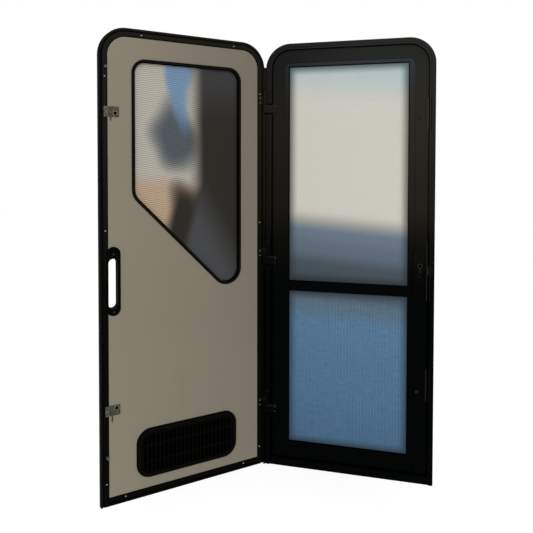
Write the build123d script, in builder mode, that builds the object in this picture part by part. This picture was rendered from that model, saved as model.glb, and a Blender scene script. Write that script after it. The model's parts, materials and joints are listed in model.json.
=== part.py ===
"""Caravan entry door: proud frame, hinged insect-screen door and hinged main leaf on one pin line.

Millimetres, +Z up, X along the wall (to the right seen from outside), Y into the wall.
The wall plane is Y = 0, and the origin lies on the back of the sill's flange, half-way along it.
The main leaf stands open by leaf_open_angle degrees, and the screen door is shut in the frame.
"""
import os
from math import cos, radians, sin, tan

from build123d import *

os.makedirs("parts", exist_ok=True)

# overall outline of the frame and of the main leaf
door_height = 1700.0
frame_width = 660.0
corner_radius = 100.0
head_leg = 20.0
leaf_open_angle = 135.0

# hinge line, shared by both leaves
pin_radius = 3.0
pin_play = 0.25
knuckle_radius = 6.0
knuckle_gap = 1.0
knuckle_clear = 1.5
knuckle_height = 31.0
hinge_plate = 2.5
edge_to_pin = 4.0
leaf_past_pin = 1.0
leaf_gap = 7.0
cut_lap = 1.0
swing_room = 6.0
hinge_lip = 21.0
hinge_lip_thick = 1.5
hinge_lip_rise = 8.0
hinge_plate_inset = 2.0
crank_lead = 2.0
screen_plate_reach = 19.0
upper_hinge_drop = 225.0
middle_hinge_level = 862.0
lower_hinge_level = 252.5

# frame extrusion
frame_wall = 2.5
strip_width = 18.0
sill_height = 30.0
sill_drop = 4.0
frame_proud = 34.0
sleeve_depth = 30.0
stop_reach = 12.0
stop_thick = 3.0
strip_round = 4.0
strip_nose = 2.0
jamb_hole_radius = 2.6
jamb_hole_setback = 22.0
jamb_hole_low = 420.0
jamb_hole_drop = 420.0

# screen door
screen_gap = 6.0
screen_recess = 14.0
screen_thick = 20.0
screen_member = 52.0
screen_foot = 42.0
screen_wall = 2.0
screen_bevel = 3.0
bead_hinge_side = 14.5
bead_lock_side = 21.0
bead_top = 12.5
bead_bottom = 18.5
bead_drop = 3.0
bead_thick = 13.0
mid_rail_height = 36.0
mid_rail_level = 730.5
mesh_thick = 1.0
mesh_depth = 8.0
mesh_tuck = 4.0

# screen lock, snib and catch studs
case_width = 46.0
case_height = 190.0
case_proud = 7.0
case_bevel = 2.0
case_below_lock = 2.0
case_from_edge = 33.0
case_field_width = 34.0
case_field_height = 110.0
case_field_corner = 6.0
case_field_depth = 1.0
case_field_drop = 10.0
key_radius = 8.0
key_bore = 5.0
key_drop = 36.0
snib_shift = 3.5
snib_rise = 32.0
snib_boss_radius = 7.0
snib_seat = 1.5
snib_play = 0.3
snib_collar = 2.5
snib_bevel = 0.8
snib_height = 5.5
snib_radius = 11.0
snib_cup_radius = 6.5
snib_cup_depth = 1.5
snib_tail = 24.0
snib_width = 8.0
stud_radius = 6.0
stud_neck_radius = 3.5
stud_height = 7.0
stud_head = 3.0
stud_bevel = 1.0
stud_cup_radius = 3.5
stud_cup_depth = 2.0
stud_from_catch = 14.0
upper_stud_shift = -5.0
lower_stud_shift = 8.0

# main leaf
leaf_inset = 4.0
leaf_thick = 27.0
edge_width = 28.0
edge_wall = 2.5
edge_round = 9.0
lip_width = 8.0
groove_width = 5.0
groove_depth = 4.0
flange_body = 6.5
seal_drop = 1.0
panel_drop = 2.0
skin_thick = 2.0

# window of the main leaf
window_from_hinge_edge = 78.0
window_to_catch = 46.5
window_top_drop = 105.0
window_low = 663.0
window_slope = 45.0
window_corner = 52.0
window_cut_corner = 62.0
ring_width = 12.0
ring_proud = 4.0
ring_bevel = 1.5
sleeve_wall = 3.0
glass_thick = 3.0

# vent of the main leaf
vent_shift = -1.5
vent_v = 159.0
vent_width = 404.0
vent_height = 182.0
vent_corner = 54.0
vent_proud = 6.0
vent_bevel = 3.0
vent_duct_inset = 9.0
vent_rim = 17.0
vent_margin = 20.0
vent_field_depth = 2.5
vent_field_shift = -3.0
vent_field_height = 137.0
vent_slots = 22
vent_slot_pitch = 16.2
vent_slot_width = 10.6
vent_bar = 7.0
vent_bar_pitch = 59.0

# lock plate with its open slot
lock_from_edge = 49.0
lock_v = 803.0
lock_width = 50.0
lock_height = 245.0
lock_proud = 5.0
lock_bevel = 1.5
slot_shift = 1.5
slot_drop = 8.5
slot_width = 33.0
slot_height = 178.0
slot_sleeve = 1.5

# catches and bumpers on the lock side of the main leaf
catch_width = 53.0
catch_height = 36.0
catch_thick = 2.5
catch_fold = 1.0
catch_fold_width = 13.0
catch_edge = 17.5
upper_catch_drop = 298.0
lower_catch_level = 342.0
catch_hole_radius = 7.5
catch_screw_radius = 2.4
catch_screw_spacing = 17.0
catch_tail_width = 4.0
catch_tail_lap = 2.0
catch_tail_shift = 2.0
upper_tail = 14.0
lower_tail = 22.0
bumper_radius = 5.0
bumper_rise = 11.0
bumper_seat = 2.0
bumper_bevel = 1.2
upper_bumper_drop = 142.0
lower_bumper_level = 177.0
bumper_from_edge = 24.0

# strike plates in the lock jamb
strike_depth = 20.0
strike_thick = 3.0
upper_strike_drop = 290.0
upper_strike_length = 120.0
middle_strike_rise = 11.0
middle_strike_length = 228.0
lower_strike_level = 375.0
lower_strike_length = 124.0
keeper_rise = 1.0
keeper_height = 36.0
keeper_width = 11.0

# derived places, measured from the pin: u along a leaf, s inwards, v up from the bottom edge
pin_x = -frame_width / 2 - edge_to_pin
front_s = leaf_gap / 2
wall_s = front_s + frame_proud
pin_y = -wall_s
frame_low = -sill_drop
sill_high = sill_height - sill_drop
floor_z = -(frame_low + sill_high) / 2
frame_near = edge_to_pin
frame_far = edge_to_pin + frame_width
jamb_near = frame_near + strip_width
jamb_far = frame_far - strip_width
joint_v = door_height - corner_radius - head_leg
screen_near = jamb_near + screen_gap
screen_far = jamb_far - screen_gap
screen_low = sill_high + screen_gap
screen_high = door_height - strip_width - screen_gap
screen_s = front_s + screen_recess
screen_back = screen_s + screen_thick
screen_corner = corner_radius - strip_width - screen_gap
stop_s = screen_back + screen_gap
leaf_s = -leaf_gap / 2
leaf_back = leaf_s - leaf_thick
panel_s = leaf_s - panel_drop
panel_back = leaf_back + panel_drop
leaf_near = -leaf_past_pin
leaf_far = frame_far - leaf_inset
panel_near = leaf_near + edge_width
panel_far = leaf_far - edge_width
panel_low = edge_width
panel_high = door_height - edge_width
knuckle_step = knuckle_height + knuckle_gap
cluster_height = 3 * knuckle_height + 2 * knuckle_gap
notch_radius = knuckle_radius + knuckle_clear
pane_near = screen_near + screen_member + bead_hinge_side
pane_far = screen_far - screen_member - bead_lock_side
pane_low = screen_low + screen_foot + bead_bottom
pane_high = screen_high - screen_member - bead_top
glass_s = (leaf_s + leaf_back) / 2 + glass_thick / 2
catch_far = leaf_far - catch_edge
catch_u = catch_far - catch_width / 2
catch_fold_u = catch_far - catch_fold_width / 2
stud_u = catch_u - stud_from_catch
window_hinge_u = panel_near + window_from_hinge_edge
window_lock_u = catch_far - catch_width - window_to_catch
window_top = door_height - window_top_drop
window_cut_end = window_low + (window_lock_u - window_hinge_u) * tan(radians(window_slope))
vent_u = (panel_near + panel_far) / 2 + vent_shift
vent_field_v = vent_v + vent_field_shift
lock_u = leaf_far - lock_from_edge
slot_u = lock_u + slot_shift
slot_v = lock_v - slot_drop
case_u = screen_far - case_from_edge
case_level = lock_v - case_below_lock
case_field_s = screen_s - case_proud + case_field_depth
snib_u = case_u + snib_shift
snib_v = case_level + snib_rise
jamb_hole_high = door_height - jamb_hole_drop

# heights of what repeats along the door
hinge_levels = {
    "upper": door_height - upper_hinge_drop,
    "middle": middle_hinge_level,
    "lower": lower_hinge_level,
}
catch_levels = {"upper": door_height - upper_catch_drop, "lower": lower_catch_level}
catch_tails = {"upper": upper_tail, "lower": lower_tail}
stud_levels = {
    "upper": catch_levels["upper"] + upper_stud_shift,
    "lower": catch_levels["lower"] + lower_stud_shift,
}
bumper_levels = {"upper": door_height - upper_bumper_drop, "lower": lower_bumper_level}
strikes = {
    "upper": (door_height - upper_strike_drop, upper_strike_length),
    "middle": (lock_v + middle_strike_rise, middle_strike_length),
    "lower": (lower_strike_level, lower_strike_length),
}
keeper_level = lock_v + middle_strike_rise + keeper_rise


def face(turn, s):
    """Upright plane at depth s: x along the leaf from the pin, y up, normal to the outside."""
    a = radians(turn)
    at = (pin_x + s * sin(a), pin_y + s * cos(a), floor_z)
    return Plane(origin=at, x_dir=(cos(a), -sin(a), 0), z_dir=(-sin(a), -cos(a), 0))


def level(turn, v):
    """Level plane at height v: x along the leaf from the pin, y inwards."""
    a = radians(turn)
    return Plane(origin=(pin_x, pin_y, floor_z + v), x_dir=(cos(a), -sin(a), 0), z_dir=(0, 0, 1))


def across(turn, u):
    """Upright plane square to a leaf at distance u from the pin: x up, y to the outside."""
    a = radians(turn)
    at = (pin_x + u * cos(a), pin_y - u * sin(a), floor_z)
    return Plane(origin=at, x_dir=(0, 0, 1), z_dir=(cos(a), -sin(a), 0))


def outward(turn):
    """Axis square to a leaf, to the outside, that sorts its edges by depth."""
    a = radians(turn)
    return Axis((0, 0, 0), (-sin(a), -cos(a), 0))


def outline(points):
    """A closed polygon in the sketch that is open."""
    with BuildLine(mode=Mode.PRIVATE) as edge:
        Polyline(*points, close=True)
    make_face(edge.edges())


def corner(sketch, x, y):
    """The vertex of a sketch that lies nearest to a local point."""
    return sketch.vertices().sort_by_distance((x, y, 0))[0]


def arch(turn, near, far, low, high, radius):
    """Outer edge of a bent bar as one wire: up, over and down again to the same height."""
    with BuildLine(face(turn, 0), mode=Mode.PRIVATE) as line:
        FilletPolyline((near, low), (near, high), (far, high), (far, low), radius=radius)
    return line.wires()[0]


def frame_profile(base, way):
    """Hollow strip with a sleeve into the wall and a stop for the screen door, from its outer edge."""
    inner = base + way * strip_width
    thin = base + way * (strip_width - frame_wall)
    tip = inner + way * stop_reach
    with BuildSketch(mode=Mode.PRIVATE) as sk:
        outline([
            (base, front_s),
            (inner, front_s),
            (inner, stop_s),
            (tip, stop_s),
            (tip, stop_s + stop_thick),
            (inner, stop_s + stop_thick),
            (inner, wall_s + sleeve_depth),
            (thin, wall_s + sleeve_depth),
            (thin, wall_s),
            (base, wall_s),
        ])
        fillet(corner(sk, base, front_s), strip_round)
        fillet(corner(sk, inner, front_s), strip_nose)
        with Locations((base + way * strip_width / 2, front_s + frame_proud / 2)):
            Rectangle(
                strip_width - 2 * frame_wall,
                frame_proud - 2 * frame_wall,
                mode=Mode.SUBTRACT,
            )
    add(sk.sketch_local)


def screen_profile(base, way):
    """Hollow flat bar of the screen door, from its outer edge."""
    mid = base + way * screen_member / 2
    with BuildSketch(mode=Mode.PRIVATE) as sk:
        with Locations((mid, screen_s + screen_thick / 2)):
            Rectangle(screen_member, screen_thick)
            chamfer(
                [corner(sk, base, screen_s), corner(sk, base + way * screen_member, screen_s)],
                screen_bevel,
            )
            Rectangle(
                screen_member - 2 * screen_wall - screen_bevel,
                screen_thick - 2 * screen_wall - screen_bevel,
                mode=Mode.SUBTRACT,
            )
    add(sk.sketch_local)


def leaf_profile(base, way, flip=1):
    """Edge extrusion of the main leaf: lip, seal groove and screw flange, from its outer edge."""
    groove_a = base + way * lip_width
    groove_b = groove_a + way * groove_width
    inner = base + way * edge_width
    top = flip * leaf_s
    low = flip * leaf_back
    bed = flip * (leaf_s - groove_depth)
    with BuildSketch(mode=Mode.PRIVATE) as sk:
        outline([
            (base, top),
            (groove_a, top),
            (groove_a, bed),
            (groove_b, bed),
            (groove_b, top),
            (inner, top),
            (inner, low),
            (base, low),
        ])
        fillet(corner(sk, base, low), edge_round)
        hollow_top = flip * (leaf_s - flange_body)
        hollow_low = flip * (leaf_back + edge_wall)
        hollow_base = base + way * edge_wall
        hollow_inner = inner - way * edge_wall
        with BuildSketch(mode=Mode.PRIVATE) as hole:
            outline([
                (hollow_base, hollow_top),
                (hollow_inner, hollow_top),
                (hollow_inner, hollow_low),
                (hollow_base, hollow_low),
            ])
            chamfer(corner(hole, hollow_base, hollow_low), edge_round - edge_wall)
        add(hole.sketch_local, mode=Mode.SUBTRACT)
    add(sk.sketch_local)


def seal_profile(base, way, flip=1):
    """Rubber strip lying in the groove of the leaf's edge."""
    a = base + way * lip_width
    b = a + way * groove_width
    top = flip * (leaf_s - seal_drop)
    bed = flip * (leaf_s - groove_depth)
    outline([(a, top), (b, top), (b, bed), (a, bed)])


def arched_panel(near, far, low, high, radius):
    """Rectangle with its two upper corners rounded."""
    with BuildSketch(mode=Mode.PRIVATE) as sk:
        outline([(near, low), (far, low), (far, high), (near, high)])
        fillet([corner(sk, near, high), corner(sk, far, high)], radius)
    add(sk.sketch_local)


def window_shape(inset, mode=Mode.ADD):
    """Window outline with its sloping lower side, moved inwards by inset."""
    with BuildSketch(mode=Mode.PRIVATE) as sk:
        outline([
            (window_hinge_u, window_low),
            (window_hinge_u, window_top),
            (window_lock_u, window_top),
            (window_lock_u, window_cut_end),
        ])
        fillet(
            [corner(sk, window_hinge_u, window_top), corner(sk, window_lock_u, window_top)],
            window_corner,
        )
        fillet(
            [corner(sk, window_hinge_u, window_low), corner(sk, window_lock_u, window_cut_end)],
            window_cut_corner,
        )
        if inset:
            offset(amount=-inset, kind=Kind.ARC, mode=Mode.REPLACE)
    add(sk.sketch_local, mode=mode)


def vent_shape(inset, mode=Mode.ADD):
    """Round-cornered outline of the vent, moved inwards by inset."""
    with Locations((vent_u, vent_v)):
        RectangleRounded(
            vent_width - 2 * inset,
            vent_height - 2 * inset,
            vent_corner - inset,
            mode=mode,
        )


def lock_slot(grow=0.0, mode=Mode.ADD):
    """Open slot through the lock plates, moved outwards by grow."""
    with Locations((slot_u, slot_v)):
        SlotOverall(slot_height + 2 * grow, slot_width + 2 * grow, rotation=90, mode=mode)


def lock_shape(mode=Mode.ADD):
    """Round-ended outline of the lock plate."""
    with Locations((lock_u, lock_v)):
        SlotOverall(lock_height, lock_width, rotation=90, mode=mode)


def leaf_openings():
    """Window, vent duct and lock slot with its sleeve in a sheet of the leaf."""
    window_shape(ring_width - sleeve_wall, mode=Mode.SUBTRACT)
    vent_shape(vent_duct_inset, mode=Mode.SUBTRACT)
    lock_slot(slot_sleeve, mode=Mode.SUBTRACT)


def hinge_zone(name, place):
    """Lower height of one knuckle in a hinge: 2 is the frame's, 1 the leaf's, 0 the screen's."""
    return hinge_levels[name] - cluster_height / 2 + place * knuckle_step


def cut_hinge_notches(turn):
    """Room around the knuckles along an edge."""
    for name in hinge_levels:
        low = hinge_zone(name, 0) - knuckle_gap
        with BuildSketch(level(turn, low)) as room:
            Circle(notch_radius)
        extrude(room.sketch, amount=cluster_height + 2 * knuckle_gap, mode=Mode.SUBTRACT)


def save(part, name):
    """Label a piece and write its file."""
    part.label = name
    export_step(part, "parts/" + name + ".step")


# frame: two jambs, a bent head and a sill
with BuildPart() as frame_hinge_jamb:
    with BuildSketch(level(0, frame_low)):
        frame_profile(frame_near, 1)
    extrude(amount=joint_v - frame_low)
    with BuildSketch(level(0, frame_low)):
        with Locations((frame_near - hinge_lip / 2, wall_s - hinge_lip_thick / 2)):
            Rectangle(hinge_lip, hinge_lip_thick)
    extrude(amount=joint_v - frame_low + head_leg + hinge_lip_rise)
    cut_hinge_notches(0)
    with BuildSketch(face(0, stop_s + stop_thick)):
        with Locations((jamb_near + stop_reach / 2, sill_high - sill_height / 2)):
            Rectangle(stop_reach, sill_height)
    extrude(amount=stop_thick, mode=Mode.SUBTRACT)
    for hinge_name in hinge_levels:
        slot_low = hinge_zone(hinge_name, 0) - swing_room
        with BuildSketch(level(0, slot_low)):
            outline([
                (0, 0),
                (jamb_near + cut_lap, 0),
                (jamb_near + cut_lap, screen_s + swing_room),
                (frame_near + frame_wall + cut_lap, screen_s + swing_room),
                (0, front_s + swing_room),
            ])
        extrude(amount=knuckle_height + 2 * swing_room, mode=Mode.SUBTRACT)
    with BuildSketch(Plane(origin=(pin_x + jamb_near, 0, floor_z), x_dir=(0, 1, 0), z_dir=(1, 0, 0))):
        with Locations((jamb_hole_setback, jamb_hole_low), (jamb_hole_setback, jamb_hole_high)):
            Circle(jamb_hole_radius)
    extrude(amount=-2 * frame_wall, mode=Mode.SUBTRACT)
save(frame_hinge_jamb.part, "frame_hinge_jamb")

with BuildPart() as frame_lock_jamb:
    with BuildSketch(level(0, frame_low)):
        frame_profile(frame_far, -1)
    extrude(amount=joint_v - frame_low)
    with BuildSketch(face(0, stop_s + stop_thick)):
        with Locations((jamb_far - stop_reach / 2, sill_high - sill_height / 2)):
            Rectangle(stop_reach, sill_height)
    extrude(amount=stop_thick, mode=Mode.SUBTRACT)
    for strike_v, strike_h in strikes.values():
        with BuildSketch(face(0, front_s + strike_depth)):
            with Locations((jamb_far + strike_thick / 2, strike_v)):
                Rectangle(strike_thick, strike_h)
        extrude(amount=strike_depth, mode=Mode.SUBTRACT)
    with BuildSketch(face(0, front_s + strike_thick)):
        with Locations((jamb_far + keeper_width / 2, keeper_level)):
            Rectangle(keeper_width, keeper_height)
    extrude(amount=strike_thick, mode=Mode.SUBTRACT)
    with BuildSketch(Plane(origin=(pin_x + jamb_far, 0, floor_z), x_dir=(0, 1, 0), z_dir=(1, 0, 0))):
        with Locations((jamb_hole_setback, jamb_hole_low), (jamb_hole_setback, jamb_hole_high)):
            Circle(jamb_hole_radius)
    extrude(amount=2 * frame_wall, mode=Mode.SUBTRACT)
save(frame_lock_jamb.part, "frame_lock_jamb")

with BuildPart() as frame_head:
    with BuildSketch(level(0, joint_v)):
        frame_profile(frame_near, 1)
    sweep(path=arch(0, frame_near, frame_far, joint_v, door_height, corner_radius))
save(frame_head.part, "frame_head")

with BuildPart() as frame_sill:
    with BuildSketch(across(0, jamb_near)):
        with BuildSketch(mode=Mode.PRIVATE) as sill_section:
            outline([
                (frame_low, -front_s),
                (sill_high, -front_s),
                (sill_high, -stop_s),
                (sill_high + stop_reach, -stop_s),
                (sill_high + stop_reach, -stop_s - stop_thick),
                (sill_high, -stop_s - stop_thick),
                (sill_high, -wall_s - sleeve_depth),
                (sill_high - frame_wall, -wall_s - sleeve_depth),
                (sill_high - frame_wall, -wall_s),
                (frame_low, -wall_s),
            ])
            fillet(corner(sill_section, frame_low, -front_s), strip_round)
            fillet(corner(sill_section, sill_high, -front_s), strip_nose)
            with Locations((sill_high - sill_height / 2, -front_s - frame_proud / 2)):
                Rectangle(
                    sill_height - 2 * frame_wall,
                    frame_proud - 2 * frame_wall,
                    mode=Mode.SUBTRACT,
                )
        add(sill_section.sketch_local)
    extrude(amount=jamb_far - jamb_near)
    for stop_end in (jamb_near, jamb_far - stop_reach):
        with BuildSketch(face(0, stop_s + stop_thick)):
            with Locations((stop_end + stop_reach / 2, sill_high + stop_reach / 2)):
                Rectangle(stop_reach, stop_reach)
        extrude(amount=stop_thick, mode=Mode.SUBTRACT)
save(frame_sill.part, "frame_sill")

for strike_name, (strike_v, strike_h) in strikes.items():
    with BuildPart() as strike:
        with BuildSketch(face(0, front_s + strike_depth)):
            with Locations((jamb_far + strike_thick / 2, strike_v)):
                Rectangle(strike_thick, strike_h)
        extrude(amount=strike_depth)
        if strike_name == "middle":
            with BuildSketch(face(0, front_s + strike_thick)):
                with Locations((jamb_far + keeper_width / 2, keeper_level)):
                    Rectangle(keeper_width, keeper_height)
            extrude(amount=strike_thick)
    save(strike.part, strike_name + "_strike")

for hinge_name in hinge_levels:
    with BuildPart() as frame_hinge:
        with BuildSketch(level(0, hinge_zone(hinge_name, 2))):
            Circle(knuckle_radius)
            outline([
                (0, front_s - hinge_plate),
                (jamb_near - strip_nose - hinge_plate_inset, front_s - hinge_plate),
                (jamb_near - strip_nose - hinge_plate_inset, front_s),
                (0, front_s),
            ])
        extrude(amount=knuckle_height)
        with BuildSketch(level(0, hinge_zone(hinge_name, 0))):
            Circle(pin_radius)
        extrude(amount=cluster_height)
    save(frame_hinge.part, hinge_name + "_frame_hinge")

# screen door: bent bar frame, middle rail, pane bead and two mesh sheets
with BuildPart() as screen_hinge_stile:
    with BuildSketch(level(0, screen_low)):
        screen_profile(screen_near, 1)
    extrude(amount=joint_v - screen_low)
save(screen_hinge_stile.part, "screen_hinge_stile")

with BuildPart() as screen_lock_stile:
    with BuildSketch(level(0, screen_low)):
        screen_profile(screen_far, -1)
    extrude(amount=joint_v - screen_low)
save(screen_lock_stile.part, "screen_lock_stile")

with BuildPart() as screen_top_rail:
    with BuildSketch(level(0, joint_v)):
        screen_profile(screen_near, 1)
    sweep(path=arch(0, screen_near, screen_far, joint_v, screen_high, screen_corner))
save(screen_top_rail.part, "screen_top_rail")

with BuildPart() as screen_bottom_rail:
    with BuildSketch(across(0, screen_near + screen_member)):
        with Locations((screen_low + screen_foot / 2, -screen_s - screen_thick / 2)):
            Rectangle(screen_foot, screen_thick)
            Rectangle(
                screen_foot - 2 * screen_wall - screen_bevel,
                screen_thick - 2 * screen_wall - screen_bevel,
                mode=Mode.SUBTRACT,
            )
    extrude(amount=screen_far - screen_near - 2 * screen_member)
save(screen_bottom_rail.part, "screen_bottom_rail")

pane_u = (pane_near + pane_far) / 2
pane_width = pane_far - pane_near
mid_low = mid_rail_level - mid_rail_height / 2
mid_high = mid_rail_level + mid_rail_height / 2
mesh_s = screen_s + bead_drop + mesh_depth

with BuildPart() as screen_mid_rail:
    with BuildSketch(face(0, screen_s + bead_drop + bead_thick)):
        with Locations((pane_u, mid_rail_level)):
            Rectangle(pane_width, mid_rail_height)
    extrude(amount=bead_thick)
    for groove_low in (mid_low, mid_high - mesh_tuck):
        with BuildSketch(face(0, mesh_s + mesh_thick)):
            with Locations((pane_u, groove_low + mesh_tuck / 2)):
                Rectangle(pane_width, mesh_tuck)
        extrude(amount=mesh_thick, mode=Mode.SUBTRACT)
save(screen_mid_rail.part, "screen_mid_rail")

with BuildPart() as pane_bead:
    with BuildSketch(face(0, screen_s + bead_drop + bead_thick)):
        arched_panel(
            screen_near + screen_member,
            screen_far - screen_member,
            screen_low + screen_foot,
            screen_high - screen_member,
            screen_corner - screen_member,
        )
        with Locations((pane_u, (pane_low + pane_high) / 2)):
            Rectangle(pane_width, pane_high - pane_low, mode=Mode.SUBTRACT)
    extrude(amount=bead_thick)
    for sheet_low, sheet_high in ((pane_low, mid_low), (mid_high, pane_high)):
        with BuildSketch(face(0, mesh_s + mesh_thick)):
            with Locations((pane_u, (sheet_low + sheet_high) / 2)):
                Rectangle(pane_width + 2 * mesh_tuck, sheet_high - sheet_low + 2 * mesh_tuck)
        extrude(amount=mesh_thick, mode=Mode.SUBTRACT)
save(pane_bead.part, "pane_bead")

for sheet_name, sheet_low, sheet_high in (("lower", pane_low, mid_low), ("upper", mid_high, pane_high)):
    with BuildPart() as mesh:
        with BuildSketch(face(0, mesh_s + mesh_thick)):
            with Locations((pane_u, (sheet_low + sheet_high) / 2)):
                Rectangle(pane_width + 2 * mesh_tuck, sheet_high - sheet_low + 2 * mesh_tuck)
        extrude(amount=mesh_thick)
    save(mesh.part, sheet_name + "_mesh")

with BuildPart() as screen_lock_case:
    with BuildSketch(face(0, screen_s)):
        with Locations((case_u, case_level)):
            SlotOverall(case_height, case_width, rotation=90)
    extrude(amount=case_proud)
    chamfer(screen_lock_case.edges().group_by(outward(0))[-1], case_bevel)
    with BuildSketch(face(0, case_field_s)):
        with Locations((case_u, case_level - case_field_drop)):
            RectangleRounded(case_field_width, case_field_height, case_field_corner)
        with Locations((case_u, snib_v - key_drop)):
            Circle(key_radius, mode=Mode.SUBTRACT)
    extrude(amount=case_field_depth, mode=Mode.SUBTRACT)
    with BuildSketch(face(0, case_field_s)):
        with Locations((case_u, snib_v - key_drop)):
            Circle(key_bore)
    extrude(amount=case_field_depth, mode=Mode.SUBTRACT)
    with BuildSketch(face(0, case_field_s + snib_seat)):
        with Locations((snib_u, snib_v)):
            Circle(snib_boss_radius + snib_play)
    extrude(amount=snib_seat, mode=Mode.SUBTRACT)
save(screen_lock_case.part, "screen_lock_case")

with BuildPart() as snib:
    with BuildSketch(face(0, case_field_s + snib_seat)):
        with Locations((snib_u, snib_v)):
            Circle(snib_boss_radius)
    extrude(amount=snib_seat + snib_collar)
    with BuildSketch(face(0, case_field_s - snib_collar)):
        with Locations((snib_u, snib_v)):
            Circle(snib_radius)
        with Locations((snib_u, snib_v - snib_tail / 2)):
            SlotOverall(snib_tail + snib_width, snib_width, rotation=90)
    extrude(amount=snib_height - snib_collar)
    chamfer(snib.edges().group_by(outward(0))[-1], snib_bevel)
    with BuildSketch(face(0, case_field_s - snib_height + snib_cup_depth)):
        with Locations((snib_u, snib_v)):
            Circle(snib_cup_radius)
    extrude(amount=snib_cup_depth, mode=Mode.SUBTRACT)
save(snib.part, "snib")

for stud_name, stud_v in stud_levels.items():
    with BuildPart() as stud:
        with BuildSketch(face(0, screen_s)):
            with Locations((stud_u, stud_v)):
                Circle(stud_neck_radius)
        extrude(amount=stud_height - stud_head)
        with BuildSketch(face(0, screen_s - stud_height + stud_head)):
            with Locations((stud_u, stud_v)):
                Circle(stud_radius)
        extrude(amount=stud_head)
        chamfer(stud.edges().group_by(outward(0))[-1], stud_bevel)
        with BuildSketch(face(0, screen_s - stud_height + stud_cup_depth)):
            with Locations((stud_u, stud_v)):
                Circle(stud_cup_radius)
        extrude(amount=stud_cup_depth, mode=Mode.SUBTRACT)
    save(stud.part, stud_name + "_stud")

for hinge_name in hinge_levels:
    with BuildPart() as screen_hinge:
        with BuildSketch(level(0, hinge_zone(hinge_name, 0))):
            Circle(knuckle_radius)
            outline([
                (pin_radius, 0),
                (screen_near + crank_lead, screen_s - hinge_plate),
                (screen_near + screen_plate_reach, screen_s - hinge_plate),
                (screen_near + screen_plate_reach, screen_s),
                (screen_near + crank_lead / 2, screen_s),
                (0, knuckle_radius - crank_lead / 2),
            ])
            Circle(pin_radius + pin_play, mode=Mode.SUBTRACT)
        extrude(amount=knuckle_height)
    save(screen_hinge.part, hinge_name + "_screen_hinge")

# main leaf: bent edge extrusion, foam core between two skins
with BuildPart() as leaf_hinge_edge:
    with BuildSketch(level(leaf_open_angle, 0)):
        leaf_profile(leaf_near, 1)
    extrude(amount=joint_v)
    cut_hinge_notches(leaf_open_angle)
    for hinge_name in hinge_levels:
        with BuildSketch(level(leaf_open_angle, hinge_zone(hinge_name, 1))):
            outline([
                (0, leaf_s - hinge_plate),
                (panel_near - hinge_plate_inset, leaf_s - hinge_plate),
                (panel_near - hinge_plate_inset, 0),
                (0, 0),
            ])
        extrude(amount=knuckle_height, mode=Mode.SUBTRACT)
save(leaf_hinge_edge.part, "leaf_hinge_edge")

with BuildPart() as leaf_lock_edge:
    with BuildSketch(level(leaf_open_angle, 0)):
        leaf_profile(leaf_far, -1)
    extrude(amount=joint_v)
    with BuildSketch(face(leaf_open_angle, panel_s)):
        lock_shape()
        for catch_v in catch_levels.values():
            with Locations((catch_u, catch_v)):
                Rectangle(catch_width, catch_height)
    extrude(amount=-2 * panel_drop, mode=Mode.SUBTRACT)
    with BuildSketch(face(leaf_open_angle, panel_back)):
        lock_shape()
    extrude(amount=2 * panel_drop, mode=Mode.SUBTRACT)
    with BuildSketch(face(leaf_open_angle, leaf_s - bumper_seat)):
        for bumper_v in bumper_levels.values():
            with Locations((leaf_far - bumper_from_edge, bumper_v)):
                Circle(bumper_radius)
    extrude(amount=-2 * bumper_seat, mode=Mode.SUBTRACT)
    with BuildSketch(face(leaf_open_angle, panel_s)):
        lock_slot(slot_sleeve)
    extrude(amount=leaf_thick, both=True, mode=Mode.SUBTRACT)
save(leaf_lock_edge.part, "leaf_lock_edge")

with BuildPart() as leaf_top_edge:
    with BuildSketch(level(leaf_open_angle, joint_v)):
        leaf_profile(leaf_near, 1)
    sweep(path=arch(leaf_open_angle, leaf_near, leaf_far, joint_v, door_height, corner_radius))
save(leaf_top_edge.part, "leaf_top_edge")

with BuildPart() as leaf_bottom_edge:
    with BuildSketch(across(leaf_open_angle, panel_near)):
        leaf_profile(0, 1, flip=-1)
    extrude(amount=panel_far - panel_near)
save(leaf_bottom_edge.part, "leaf_bottom_edge")

with BuildPart() as door_seal:
    with BuildSketch(level(leaf_open_angle, edge_width)):
        seal_profile(leaf_near, 1)
    sweep(path=arch(leaf_open_angle, leaf_near, leaf_far, edge_width, door_height, corner_radius))
    with BuildSketch(face(leaf_open_angle, leaf_s)):
        for bumper_v in bumper_levels.values():
            with Locations((leaf_far - bumper_from_edge, bumper_v)):
                Circle(bumper_radius)
    extrude(amount=groove_depth, mode=Mode.SUBTRACT)
    for hinge_name in hinge_levels:
        with BuildSketch(level(leaf_open_angle, hinge_zone(hinge_name, 1))):
            outline([
                (0, leaf_s - hinge_plate),
                (panel_near, leaf_s - hinge_plate),
                (panel_near, 0),
                (0, 0),
            ])
        extrude(amount=knuckle_height, mode=Mode.SUBTRACT)
save(door_seal.part, "door_seal")

panel_radius = corner_radius - edge_width

with BuildPart() as inner_skin:
    with BuildSketch(face(leaf_open_angle, panel_s)):
        arched_panel(panel_near, panel_far, panel_low, panel_high, panel_radius)
        leaf_openings()
    extrude(amount=skin_thick)
save(inner_skin.part, "inner_skin")

with BuildPart() as leaf_core:
    with BuildSketch(face(leaf_open_angle, panel_s - skin_thick)):
        arched_panel(panel_near, panel_far, panel_low, panel_high, panel_radius)
        leaf_openings()
    extrude(amount=panel_s - panel_back - 2 * skin_thick)
save(leaf_core.part, "leaf_core")

with BuildPart() as outer_skin:
    with BuildSketch(face(leaf_open_angle, panel_back + skin_thick)):
        arched_panel(panel_near, panel_far, panel_low, panel_high, panel_radius)
        leaf_openings()
    extrude(amount=skin_thick)
save(outer_skin.part, "outer_skin")

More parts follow.
